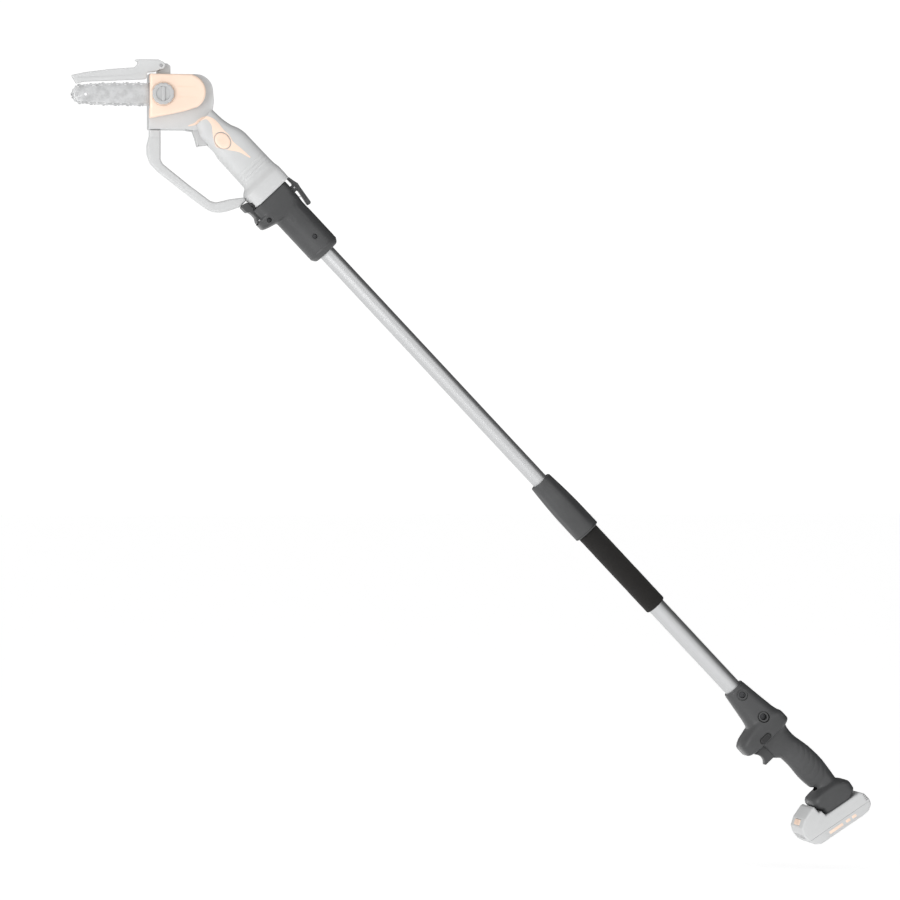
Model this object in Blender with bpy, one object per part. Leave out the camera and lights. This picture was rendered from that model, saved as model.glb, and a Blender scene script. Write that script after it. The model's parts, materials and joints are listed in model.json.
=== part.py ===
"""A telescoping pole saw: a battery handle, a two-stage pole, a docking adapter and a small chainsaw.

Every size below is in millimetres; MM turns it into Blender's metres where a mesh is made.
The pole frame has +X along the pole towards the battery, +Y to the far side and +Z above the
pole, with its origin at the middle of the rear grip. It leans so that the saw end is high.
"""

import math

import bmesh
import bpy
from mathutils import Vector

MM = 0.001
GAP = 0.3  # between pieces that touch
RUN = 0.5  # between pieces that slide or turn on each other

# Overall layout, measured along the pole.
POLE_LEAN = 46.5  # degrees above the horizontal
HANDLE_FRONT = -148.0  # front of the handle's neck, from the grip's middle
LOWER_TUBE_SHOWN = 183.0
FOAM_LENGTH = 162.0
COLLAR_LENGTH = 110.0
UPPER_TUBE_SHOWN = 497.0
SLEEVE_LENGTH = 85.0
ADAPTER_HEAD_LENGTH = 41.5
TUBE_OVERLAP = 130.0  # upper tube inside the lower one, fully extended
LOWER_TUBE_IN_HANDLE = 78.0
UPPER_TUBE_IN_ADAPTER = 80.0

# Tubes, foam and collar.
LOWER_TUBE_OD = 28.5
TUBE_WALL = 0.9
TUBE_SLIDE = 0.35  # all round, between the two tubes
TUBE_SCREW_BITE = 0.7  # how far the neck's screws reach into the lower tube's wall
FOAM_THICK = 3.75
COLLAR_FRONT_THICK = 4.25  # from the lower tube's outside to the collar's, at its front
COLLAR_SWELL = 3.8  # how much wider its radius is at the rear
COLLAR_LIP = 8.0  # front wall that the upper tube runs through
COLLET_LENGTH = 19.0
COLLAR_BASE_LENGTH = 78.0
CABLE_COIL_OD = 16.0

# Shell walls and widths across the pole.
SHELL_WALL = 2.8
GRIP_WIDTH = 35.0
FLANGE_WIDTH = 62.0
FOOT_WIDTH = 70.0
FOOT_X = 104.1  # where the foot's face meets the pole's axis
FOOT_SLANT = 10.5  # degrees between the foot's face and square to the pole

# Sliding rail shared by the battery and the saw: a T-shaped tongue in a pocket.
RAIL_NECK_HALF = 18.0
RAIL_HEAD_HALF = 22.0
RAIL_LIP = 4.0  # thickness of the pocket's lips
RAIL_HEIGHT = 11.0
RAIL_LOW = -32.0
RAIL_HIGH = 15.0
BLADE_SPACING = 9.0
BLADE_COUNT = 3
BLADE_THICK = 1.0

NECK_SCREW_HEAD_R = 5.0

# Rear controls.
TRIGGER_X = (-48.0, -22.5)
TRIGGER_WIDTH = 16.0
TRIGGER_TOP = -22.6
TRIGGER_SPRING_R = 2.6
TRIGGER_SPRING_Z = (-33.6, -15.2)  # from the floor of its pocket in the trigger to the switch
LOCK_BUTTON_AT = (-58.5, -21.0)
LOCK_BUTTON_SIZE = (9.0, 20.0)

# Battery, in the foot's frame: X away from the foot, Z along the rails.
BATTERY_DEPTH = 34.8
BATTERY_WALL = 2.5
BATTERY_SPLIT = 20.0
BATTERY_SIDE_ROOM = 3.0  # between a cell's end and the case
CELL_OD = 18.3
CELL_LENGTH = 65.0
CELL_COUNT = 5
CELL_SPACE = 0.6  # between neighbouring cells
CELL_END_ROOM = 1.5
PACK_MIDDLE = -23.0

# Adapter and its latches.
SLEEVE_OD = 53.4
DOCK_WIDTH = 58.0
LATCH_WIDTH = 16.0
LATCH_TIP_X = -0.2  # clear of the saw's foot, which starts at SAW_FOOT_X
LATCH_PIVOT = (17.8, 31.0)  # behind the docking face, above the pole's axis
LATCH_RELIEF_Z = 23.3  # floor of the pocket that the latch's tail is pressed into
HOOK_PIVOT = (17.3, -45.6)

# Saw. The head frame has +X along the bar towards the handle and its origin at the bar bolt.
SAW_HEAD_AT = (-229.2, -22.0)  # from the docking face
SAW_HANDLE_WIDTH = 38.0
SAW_FOOT_WIDTH = 66.0
SAW_FOOT_X = -0.6
HEAD_LEFT_Y = -8.5
HEAD_RIGHT_Y = 31.0
HEAD_RIM = 5.0  # chamfer of the motor housing's far rim
CHAIN_Y = -13.2
CHAIN_WIDTH = 6.0
CHAIN_THICK = 4.2
BAR_THICK = 3.2
BAR_NOSE_X = -126.0
BAR_NOSE_R = 12.0
BAR_ROOT_HALF = 15.4
SPROCKET_AT = (36.0, 0.0)
SPROCKET_R = 10.6
GEAR_MODULE = 1.0
GEAR_TEETH = 24
PINION_TEETH = 8
COVER_Y = -28.0
KNOB_OD = 34.0
GUARD_PIVOT = (-2.0, 45.0)
SAW_TRIGGER_WIDTH = 15.0

# Places that follow from the sizes above.
FOAM_REAR = HANDLE_FRONT - LOWER_TUBE_SHOWN
FOAM_FRONT = FOAM_REAR - FOAM_LENGTH
COLLAR_REAR = FOAM_FRONT - GAP
COLLAR_FRONT = COLLAR_REAR - COLLAR_LENGTH
SLEEVE_REAR = COLLAR_FRONT - UPPER_TUBE_SHOWN
SLEEVE_FRONT = SLEEVE_REAR - SLEEVE_LENGTH
DOCK_X = SLEEVE_FRONT - ADAPTER_HEAD_LENGTH
LOWER_TUBE_REAR = HANDLE_FRONT + LOWER_TUBE_IN_HANDLE
UPPER_TUBE_FRONT = SLEEVE_REAR - UPPER_TUBE_IN_ADAPTER
UPPER_TUBE_REAR = COLLAR_FRONT + TUBE_OVERLAP
LOWER_TUBE_R = LOWER_TUBE_OD / 2
UPPER_TUBE_R = LOWER_TUBE_R - TUBE_WALL - TUBE_SLIDE
BATTERY_WIDTH = CELL_LENGTH + 2 * (BATTERY_SIDE_ROOM + BATTERY_WALL)
PACK_HALF = (CELL_COUNT - 1) / 2 * (CELL_OD + CELL_SPACE) + CELL_OD / 2 + CELL_END_ROOM
PACK_TOP = PACK_MIDDLE + PACK_HALF
PACK_LOW = PACK_MIDDLE - PACK_HALF
LOBE_FOOT = (-4.6, PACK_LOW - 8.8)  # the battery's sloping corner face, which the release button stands in
LOBE_CORNER = (-14.0, PACK_LOW + 2.8)


# ---------------------------------------------------------------- materials and scene

def clear_scene():
    for obj in list(bpy.data.objects):
        bpy.data.objects.remove(obj, do_unlink=True)


def material(name, colour, roughness, metallic=0.0):
    made = bpy.data.materials.new(name)
    made.use_nodes = True
    shader = made.node_tree.nodes["Principled BSDF"]
    shader.inputs["Base Color"].default_value = (*colour, 1.0)
    shader.inputs["Roughness"].default_value = roughness
    shader.inputs["Metallic"].default_value = metallic
    return made


def empty(name, parent=None, at=(0.0, 0.0, 0.0), turn_y=0.0):
    made = bpy.data.objects.new(name, None)
    bpy.context.scene.collection.objects.link(made)
    made.parent = parent
    made.location = Vector(at) * MM
    made.rotation_euler = (0.0, math.radians(turn_y), 0.0)
    return made


clear_scene()
charcoal = material("charcoal_plastic", (0.085, 0.087, 0.09), 0.5)
black_rubber = material("black_rubber", (0.02, 0.019, 0.018), 0.85)
tube_metal = material("anodised_tube", (0.72, 0.73, 0.75), 0.3, 0.9)
steel = material("steel", (0.45, 0.45, 0.46), 0.35, 1.0)
pale_metal = material("pale_metal", (0.6, 0.6, 0.6), 0.4, 0.8)
pale_grey = material("pale_grey_plastic", (0.7, 0.7, 0.7), 0.55)
pale_peach = material("pale_peach_plastic", (0.95, 0.76, 0.64), 0.5)
brass = material("brass", (0.75, 0.58, 0.25), 0.35, 1.0)
board_green = material("circuit_board", (0.05, 0.22, 0.1), 0.6)
cell_blue = material("cell_sleeve", (0.1, 0.25, 0.5), 0.5)
black_plastic = material("black_plastic", (0.03, 0.03, 0.032), 0.45)

pole = empty("pole_frame", turn_y=POLE_LEAN)
foot = empty("foot_frame", pole, (FOOT_X, 0.0, 0.0), FOOT_SLANT)
dock = empty("dock_frame", pole, (DOCK_X, 0.0, 0.0))
head = empty("saw_head_frame", dock, (SAW_HEAD_AT[0], 0.0, SAW_HEAD_AT[1]), -POLE_LEAN)


# ---------------------------------------------------------------- mesh tools

def is_twisted(face):
    """Whether a quad's corners are off one plane, which a Boolean step would cut badly."""
    if len(face.verts) != 4:
        return False
    a, b, c, d = (vert.co for vert in face.verts)
    normal = (b - a).cross(c - a)
    return normal.length > 0 and abs(normal.normalized().dot(d - a)) > 1e-3


def make_object(name, bm, look, frame, origin=(0.0, 0.0, 0.0)):
    """Turns a bmesh in millimetres into a named object whose origin stands at the given point."""
    bmesh.ops.remove_doubles(bm, verts=bm.verts, dist=1e-4)
    bmesh.ops.triangulate(bm, faces=[face for face in bm.faces if is_twisted(face)])
    bmesh.ops.recalc_face_normals(bm, faces=bm.faces)
    for vert in bm.verts:
        vert.co = (vert.co - Vector(origin)) * MM
    mesh = bpy.data.meshes.new(name)
    bm.to_mesh(mesh)
    bm.free()
    mesh.shade_smooth()
    mesh.set_sharp_from_angle(angle=math.radians(35))
    made = bpy.data.objects.new(name, mesh)
    bpy.context.scene.collection.objects.link(made)
    made.parent = frame
    made.location = Vector(origin) * MM
    if look:
        mesh.materials.append(look)
    else:
        made.hide_render = True
        made.display_type = "WIRE"
    return made


def loft(name, rings, look, frame, origin=(0.0, 0.0, 0.0), ring_of_rings=False):
    """Skins a row of rings that have the same number of points, and closes both ends."""
    bm = bmesh.new()
    rows = [[bm.verts.new(point) for point in ring] for ring in rings]
    count = len(rows[0])
    pairs = list(zip(rows, rows[1:] + rows[:1])) if ring_of_rings else list(zip(rows, rows[1:]))
    for near, far in pairs:
        for k in range(count):
            after = (k + 1) % count
            bm.faces.new((near[k], near[after], far[after], far[k]))
    if not ring_of_rings:
        bm.faces.new(rows[0])
        bm.faces.new(list(reversed(rows[-1])))
    return make_object(name, bm, look, frame, origin)


def offset_outline(outline, distance):
    """Moves each edge of a closed outline inwards by the distance, keeping its corners mitred."""
    area = sum(a[0] * b[1] - b[0] * a[1] for a, b in zip(outline, outline[1:] + outline[:1]))
    turn = 1.0 if area > 0 else -1.0
    moved = []
    for k, point in enumerate(outline):
        before = Vector(outline[k - 1])
        here = Vector(point)
        after = Vector(outline[(k + 1) % len(outline)])
        edge_in = (here - before).normalized()
        edge_out = (after - here).normalized()
        normal_in = Vector((-edge_in.y, edge_in.x)) * turn
        normal_out = Vector((-edge_out.y, edge_out.x)) * turn
        middle = normal_in + normal_out
        moved.append(here + middle * (distance / max(0.3, 1.0 + normal_in.dot(normal_out))))
    return [(p.x, p.y) for p in moved]


def slab(name, outline, y_low, y_high, look, frame, chamfer=0.0, origin=(0.0, 0.0, 0.0)):
    """An XZ outline given depth along Y, with its two rims chamfered."""
    if chamfer:
        inner = offset_outline(outline, chamfer)
        steps = [(y_low, inner), (y_low + chamfer, outline), (y_high - chamfer, outline),
                 (y_high, inner)]
    else:
        steps = [(y_low, outline), (y_high, outline)]
    rings = [[(x, y, z) for x, z in shape] for y, shape in steps]
    return loft(name, rings, look, frame, origin)


def box(name, low, high, look, frame, origin=(0.0, 0.0, 0.0)):
    outline = [(low[0], low[2]), (high[0], low[2]), (high[0], high[2]), (low[0], high[2])]
    return slab(name, outline, low[1], high[1], look, frame, origin=origin)


def turn(name, profile, look, frame, axis="X", at=(0.0, 0.0), segments=32):
    """Turns a closed profile of (distance along the axis, radius) points round the X or the Y axis.

    A Y axis stands at the (x, z) point given; an X axis is the frame's own, raised by at[1].
    The object's origin lies on the axis.
    """
    rings = []
    for k in range(segments):
        angle = 2 * math.pi * k / segments
        side, rise = math.cos(angle), math.sin(angle)
        if axis == "X":
            rings.append([(s, r * side, r * rise + at[1]) for s, r in profile])
        else:
            rings.append([(at[0] + r * side, s, at[1] + r * rise) for s, r in profile])
    origin = (profile[0][0], 0.0, at[1]) if axis == "X" else (at[0], profile[0][0], at[1])
    return loft(name, rings, look, frame, origin, ring_of_rings=True)


def rod(name, start, end, radius, look, frame, axis="Y", at=(0.0, 0.0), segments=16):
    profile = [(start, 0.0), (start, radius), (end, radius), (end, 0.0)]
    return turn(name, profile, look, frame, axis, at, segments)


def arc(centre, radius, start, end, steps):
    """Points on a circle from one angle to another, in degrees, ends included."""
    angles = [math.radians(start + (end - start) * k / steps) for k in range(steps + 1)]
    return [(centre[0] + radius * math.cos(a), centre[1] + radius * math.sin(a)) for a in angles]


def combine(target, others, operation):
    """One Boolean step with all the given helpers, which sit in a collection of their own."""
    step = target.modifiers.new(operation.lower(), "BOOLEAN")
    step.operation = operation
    step.solver = "EXACT"
    if len(others) == 1:
        step.object = others[0]
        return
    group = bpy.data.collections.new(f"{operation.lower()}_{target.name}")
    for other in others:
        group.objects.link(other)
    step.operand_type = "COLLECTION"
    step.collection = group


def cut(target, *cutters):
    combine(target, cutters, "DIFFERENCE")


def fuse(target, *others):
    combine(target, others, "UNION")


def half_section(low, high, half_width, power, side, steps=10):
    """(y, z) points of half a rounded section, from its top round one side to its bottom.

    The curve is a superellipse: power 2 is an ellipse, and higher powers are squarer.
    """
    middle, half = (low + high) / 2, (high - low) / 2
    points = []
    for k in range(steps + 1):
        angle = math.pi * k / steps
        rise = math.copysign(abs(math.cos(angle)) ** (2 / power), math.cos(angle))
        out = math.sin(angle) ** (2 / power)
        points.append((side * (GAP / 2 + out * (half_width - GAP / 2)), middle + half * rise))
    return points


def half_body(name, stations, side, look, frame, steps=10):
    """One side of a body lofted through stations: (x, low, high, half width, power, lean)."""
    rings = []
    for x, low, high, half_width, power, lean in stations:
        section = half_section(low, high, half_width, power, side, steps)
        rings.append([(x + lean * z, y, z) for y, z in section])
    return loft(name, rings, look, frame)


def whole_body(name, stations, look, frame, steps=8):
    rings = []
    for x, low, high, half_width, power, lean in stations:
        near = half_section(low, high, half_width, power, -1, steps)
        far = half_section(low, high, half_width, power, 1, steps)
        ring = near[:-1] + list(reversed(far[1:]))
        ring[0] = (0.0, near[0][1])
        ring[len(near) - 1] = (0.0, far[-1][1])
        rings.append([(x + lean * z, y, z) for y, z in ring])
    return loft(name, rings, look, frame)


def screw(name, at, head_y, length, side, frame, head_r=3.6, shank_r=1.9):
    """A pan-head screw along Y with a hexagon socket; side is -1 when its head faces -Y."""
    inner = -side
    profile = [
        (head_y + inner * 1.4, 0.0),
        (head_y + inner * 1.4, 1.5),
        (head_y, 1.7),
        (head_y, head_r - 0.6),
        (head_y + inner * 0.8, head_r),
        (head_y + inner * 2.4, head_r),
        (head_y + inner * 2.4, shank_r),
        (head_y + inner * length, shank_r),
        (head_y + inner * length, 0.0),
    ]
    return turn(name, profile, steel, frame, "Y", at, 12)


def screw_holes(tag, at, head_y, length, side, frame, head_r=3.6, shank_r=1.9, out=14.0):
    """Cutters for a screw: a recess that is open to the outside, and a clearance hole."""
    inner = -side
    recess = sorted((head_y - inner * out, head_y + inner * 2.7))
    shank = sorted((head_y + inner * 2.0, head_y + inner * (length + 0.6)))
    return (
        rod(f"cut_recess_{tag}", *recess, head_r + GAP, None, frame, "Y", at, 16),
        rod(f"cut_hole_{tag}", *shank, shank_r + GAP, None, frame, "Y", at, 12),
    )


# ---------------------------------------------------------------- rails

def rail_outline(grow):
    """(y, x) points of the T section: its neck at x = 0 and its head away from the face."""
    neck, wide = RAIL_NECK_HALF + grow, RAIL_HEAD_HALF + grow
    step, top = -RAIL_LIP - RUN + grow, -RAIL_HEIGHT - grow
    return [(-neck, 3.0), (-neck, step), (-wide, step), (-wide, top), (wide, top), (wide, step),
            (neck, step), (neck, 3.0)]


def rail_prism(name, grow, z_low, z_high, look, frame):
    rings = [[(x, y, z) for y, x in rail_outline(grow)] for z in (z_low, z_high)]
    return loft(name, rings, look, frame)


def blade_places():
    middle = (BLADE_COUNT - 1) / 2
    return [(k - middle) * BLADE_SPACING for k in range(BLADE_COUNT)]


def rail_pocket(tag, frame, open_to):
    """Cutters for the pocket: the T section, and a recess in its roof for the contact block."""
    return (
        rail_prism(f"cut_pocket_{tag}", RUN, open_to, RAIL_HIGH + RUN, None, frame),
        box(f"cut_contacts_{tag}", (-RAIL_HEIGHT - 5.5, -16.0, 2.0),
            (-RAIL_HEIGHT, 16.0, RAIL_HIGH - 1.0), None, frame),
    )


def contact_block(name, frame):
    """The blades that stand in the pocket, on the base that holds them in its roof."""
    top = -RAIL_HEIGHT - 5.5 + GAP
    made = box(name, (top, -16.0 + GAP, 2.0 + GAP),
               (-RAIL_HEIGHT - RUN, 16.0 - GAP, RAIL_HIGH - 1.0 - GAP), brass, frame)
    for k, y in enumerate(blade_places()):
        half = BLADE_THICK / 2
        blade = box(f"{name}_blade_{k}", (top + 1.0, y - half, 4.0),
                    (-RAIL_HEIGHT + 5.0, y + half, 12.0), None, frame)
        fuse(made, blade)
    return made


def blade_slots(tag, frame):
    """Cutters in the tongue, open at its leading end, that the blades run in."""
    return tuple(
        box(f"cut_slot_{tag}_{k}", (-RAIL_HEIGHT - 1.0, y - 1.1, 1.0),
            (-RAIL_HEIGHT + 6.0, y + 1.1, RAIL_HIGH + 2.0), None, frame)
        for k, y in enumerate(blade_places())
    )


# ---------------------------------------------------------------- rear handle

def foot_station(depth, low, high, half_width, power):
    """A station in a plane parallel to the foot's face, as a leaning station of the pole frame."""
    slant = math.radians(FOOT_SLANT)
    lean = math.tan(slant)
    x = FOOT_X + depth / math.cos(slant)
    rise = -depth * math.sin(slant)
    return (x, low * math.cos(slant) + rise, high * math.cos(slant) + rise, half_width, power, lean)


def handle_stations():
    grip, flange, base = GRIP_WIDTH / 2, FLANGE_WIDTH / 2, FOOT_WIDTH / 2
    neck = LOWER_TUBE_R + 3.2
    front = HANDLE_FRONT
    return [
        (front, -neck + 0.8, neck - 0.2, neck - 0.5, 2.2, 0.0),
        (front + 4.0, -neck - 0.6, neck + 0.9, neck + 0.6, 2.3, 0.0),
        (-112.0, -22.6, 22.4, 21.0, 2.4, 0.0),
        (-86.0, -27.3, 25.6, 24.6, 2.7, 0.0),
        (-83.0, -33.0, 26.0, 26.0, 3.0, 0.0),
        (-78.0, -50.0, 27.0, flange - 1.5, 4.0, 0.0),
        (-70.5, -59.5, 30.0, flange, 5.0, 0.0),
        (-57.0, -59.5, 30.0, flange, 5.0, 0.0),
        (-51.0, -50.5, 25.6, flange - 1.5, 4.0, 0.0),
        (-50.0, -31.0, 22.0, 23.0, 3.0, 0.0),
        (-40.0, -30.0, 19.6, grip + 0.8, 2.6, 0.0),
        (-21.0, -29.3, 19.9, grip, 2.5, 0.0),
        (-11.0, -20.4, 22.0, grip, 2.4, 0.0),
        (6.0, -19.6, 25.0, grip, 2.3, 0.0),
        (30.0, -20.9, 26.4, grip, 2.3, 0.0),
        (54.0, -18.6, 24.4, grip, 2.4, 0.0),
        foot_station(-37.0, -24.0, 14.5, grip + 2.5, 2.6),
        foot_station(-31.0, -39.5, 20.5, base - 3.0, 4.0),
        foot_station(-25.0, -43.2, 26.5, base - 0.5, 5.0),
        foot_station(-16.5, -42.2, 28.5, base, 6.0),
        foot_station(-9.7, -36.4, 28.5, base, 6.0),
        foot_station(-1.2, -34.4, 19.6, base - 0.6, 6.0),
        foot_station(0.0, -33.6, 18.4, base - 1.8, 6.0),
    ]


GRIP_STATIONS = slice(10, 17)  # the rows of handle_stations from behind the flange to the foot


def handle_cavity():
    """The hollow that both halves share, from behind the tube's end to just short of the foot's pocket."""
    wall = SHELL_WALL
    flange, grip = FLANGE_WIDTH / 2 - wall, GRIP_WIDTH / 2 - wall
    rows = [
        (LOWER_TUBE_REAR + 2.5, -52.0, 24.5, flange - 1.0, 4.5, 0.0),
        (-57.0, -52.0, 24.5, flange - 1.0, 4.5, 0.0),
        (-54.0, -28.0, 18.5, 19.0, 3.0, 0.0),
    ]
    rows += [inset(station, wall) for station in handle_stations()[GRIP_STATIONS]]
    rows.append(foot_station(-RAIL_HEIGHT - 9.0, -20.0, 12.0, grip + 4.0, 4.0))
    return whole_body("cut_handle_cavity", rows, None, pole)


def inset(station, wall):
    """The same station, smaller by a wall all round."""
    x, low, high, half_width, power, lean = station
    return (x, low + wall, high - wall, half_width - wall, power, lean)


def build_handle():
    neck_screws = [(HANDLE_FRONT + 15.0, 1.0), (HANDLE_FRONT + 63.0, 1.0)]
    shell_screws = [(-66.0, 20.5), (22.0, 12.0), (84.0, 19.0)]
    x_low, x_high = TRIGGER_X
    half = TRIGGER_WIDTH / 2
    tube_bore = rod("cut_tube_bore", HANDLE_FRONT - 5.0, LOWER_TUBE_REAR + GAP, LOWER_TUBE_R + GAP,
                    None, pole, "X", segments=32)
    cable_way = rod("cut_cable_way", LOWER_TUBE_REAR - 2.0, LOWER_TUBE_REAR + 6.0, 9.0, None, pole, "X")
    trigger_slot = box("cut_trigger_slot", (x_low - RUN, -half - RUN, -60.0),
                       (x_high + RUN, half + RUN, -15.0), None, pole)
    cavity = handle_cavity()
    pocket = rail_pocket("foot", foot, -60.0)
    bx, bz = LOCK_BUTTON_AT
    slot = capsule_outline(bx, bz, LOCK_BUTTON_SIZE[0] + 2 * RUN, LOCK_BUTTON_SIZE[1] + 2 * RUN)
    button_hole = slab("cut_button_hole", slot, -FLANGE_WIDTH, -FLANGE_WIDTH / 2 + 20.0, None, pole)
    neck_hollow = rod("cut_neck_hollow", HANDLE_FRONT + 28.0, HANDLE_FRONT + 56.0, LOWER_TUBE_R + 4.0,
                      None, pole, "X")
    for side, word in ((-1, "left"), (1, "right")):
        shell = half_body(f"handle_shell_{word}", handle_stations(), side, charcoal, pole)
        cut(shell, cavity)
        fuse(shell, *[
            rod(f"boss_{word}_{k}", *sorted((side * GAP / 2, side * (handle_wall(k) - 1.0))), 4.6, None,
                pole, "Y", at, 12)
            for k, at in enumerate(shell_screws)
        ])
        cutters = [tube_bore, neck_hollow, cable_way, trigger_slot, *pocket]
        if side < 0:
            cutters.append(button_hole)
            for k, at in enumerate(neck_screws):
                seat = neck_seat(k)
                cutters += screw_holes(f"neck_{k}", at, -seat, neck_screw_length(k), -1, pole,
                                       NECK_SCREW_HEAD_R)
        for k, at in enumerate(shell_screws):
            cutters += screw_holes(f"shell_{word}_{k}", at, handle_wall(k) - 5.0, handle_wall(k) + 3.0,
                                   1, pole)
        cut(shell, *cutters)
    for k, at in enumerate(neck_screws):
        screw(f"neck_screw_{k + 1}", at, -neck_seat(k), neck_screw_length(k), -1, pole,
              NECK_SCREW_HEAD_R)
    for k, at in enumerate(shell_screws):
        screw(f"shell_screw_{k + 1}", at, handle_wall(k) - 5.0, handle_wall(k) + 3.0, 1, pole)
    return neck_screws


def handle_wall(k):
    """Distance from the split to the outside of the shell at each shell screw."""
    return (FLANGE_WIDTH / 2 - 2.5, GRIP_WIDTH / 2 - 1.5, FOOT_WIDTH / 2 - 2.0)[k]


def neck_seat(k):
    """Depth of the neck screws' heads below the split line, just under the neck's surface."""
    return (LOWER_TUBE_R + 3.5, LOWER_TUBE_R + 7.5)[k]


def neck_screw_length(k):
    """Up to the lower tube's wall, so that the upper tube can slide past the screw's tip."""
    return neck_seat(k) - LOWER_TUBE_R + TUBE_SCREW_BITE


def capsule_outline(x, z, width, height, steps=5):
    """A slot shape with round ends, standing along Z."""
    radius = width / 2
    reach = height / 2 - radius
    return arc((x, z + reach), radius, 0, 180, steps) + arc((x, z - reach), radius, 180, 360, steps)


def build_controls():
    x_low, x_high = TRIGGER_X
    half = TRIGGER_WIDTH / 2
    face = [(x_low, -49.0), (x_low + 4.0, -47.6), (x_low + 10.0, -46.9), (x_high - 5.0, -47.1),
            (x_high - 1.2, -47.8), (x_high, -46.4)]
    trigger = slab("rear_trigger", face + [(x_high, TRIGGER_TOP), (x_low, TRIGGER_TOP)], -half, half,
                   charcoal, pole, 0.8, ((x_low + x_high) / 2, 0.0, -30.0))
    spring_x, room = x_low + 9.0, TRIGGER_SPRING_R + 1.0
    low, high = TRIGGER_SPRING_Z
    cut(trigger, box("cut_spring_pocket", (spring_x - room, -room, low - GAP),
                     (spring_x + room, room, TRIGGER_TOP + 5.0), None, pole))
    spring_standing("rear_trigger_spring", spring_x, low, high, TRIGGER_SPRING_R, 0.45, 7)
    box("rear_switch", (x_low + 1.0, -8.0, -14.6), (x_high - 1.0, 8.0, 1.5), black_plastic, pole)
    bx, bz = LOCK_BUTTON_AT
    shape = capsule_outline(bx, bz, *LOCK_BUTTON_SIZE)
    front = -FLANGE_WIDTH / 2 - 0.8
    button = slab("lock_off_button", shape, front, front + 13.0, black_plastic, pole, 0.8,
                  (bx, front, bz))
    plate = box("lock_off_plate", (bx - 2.6, front + 11.0, bz - 13.0),
                (bx + 2.6, front + 14.0, bz + 13.0), None, pole)
    fuse(button, plate)
    contact_block("foot_terminals", foot)


def spring_standing(name, x, low, top_z, radius, wire_r, turns, steps=10):
    """A closed helical spring that stands along Z, as a round wire swept along its helix."""
    rings = []
    total = turns * steps
    for k in range(total + 1):
        angle = 2 * math.pi * k / steps
        centre = Vector((x + radius * math.cos(angle), radius * math.sin(angle),
                         low + wire_r + (top_z - low - 2 * wire_r) * k / total))
        out = Vector((math.cos(angle), math.sin(angle), 0.0))
        rings.append([tuple(centre + out * wire_r * math.cos(a) + Vector((0, 0, wire_r * math.sin(a))))
                      for a in (math.radians(60 * j) for j in range(6))])
    return loft(name, rings, steel, pole)


# ---------------------------------------------------------------- tubes, foam and collar

def build_tubes(neck_screws):
    lower_front = COLLAR_FRONT + COLLAR_LIP + COLLET_LENGTH + 2 * GAP
    lower = tube("lower_tube", lower_front, LOWER_TUBE_REAR, LOWER_TUBE_R, tube_metal)
    for k, at in enumerate(neck_screws):
        cut(lower, rod(f"cut_tube_hole_{k}", -LOWER_TUBE_R - 5.0, -5.0, 2.4, None, pole, "Y", at, 12))
    upper = tube("upper_tube", UPPER_TUBE_FRONT, UPPER_TUBE_REAR, UPPER_TUBE_R, tube_metal)
    cut(upper, rod("cut_upper_hole", -UPPER_TUBE_R - 5.0, -5.0, 2.4, None, pole, "Y",
                   (sleeve_screw_x(), 0.0), 12))
    guide = [(UPPER_TUBE_REAR + GAP, CABLE_COIL_OD / 2 + 1.0),
             (UPPER_TUBE_REAR + GAP, UPPER_TUBE_R + 0.05),
             (UPPER_TUBE_REAR + 12.0, UPPER_TUBE_R + 0.05),
             (UPPER_TUBE_REAR + 12.0, CABLE_COIL_OD / 2 + 1.0)]
    turn("guide_bush", guide, black_plastic, pole)
    return lower_front


def tube(name, front, rear, radius, look):
    bore = radius - TUBE_WALL
    return turn(name, [(front, bore), (front, radius), (rear, radius), (rear, bore)], look, pole)


def build_foam_and_cable():
    bore, outer = LOWER_TUBE_R + GAP, LOWER_TUBE_R + FOAM_THICK
    turn("foam_grip", [(FOAM_FRONT, bore), (FOAM_FRONT, outer - 1.0), (FOAM_FRONT + 1.0, outer),
                       (FOAM_REAR - 1.5, outer), (FOAM_REAR, outer - 1.5), (FOAM_REAR, bore)],
         black_rubber, pole)
    radius = CABLE_COIL_OD / 2
    turn("power_cable", [(UPPER_TUBE_FRONT + 6.0, 0.0), (UPPER_TUBE_FRONT + 6.0, radius),
                         (LOWER_TUBE_REAR - 1.0, radius), (LOWER_TUBE_REAR - 1.0, 0.0)], black_rubber,
         pole, segments=16)


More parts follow.
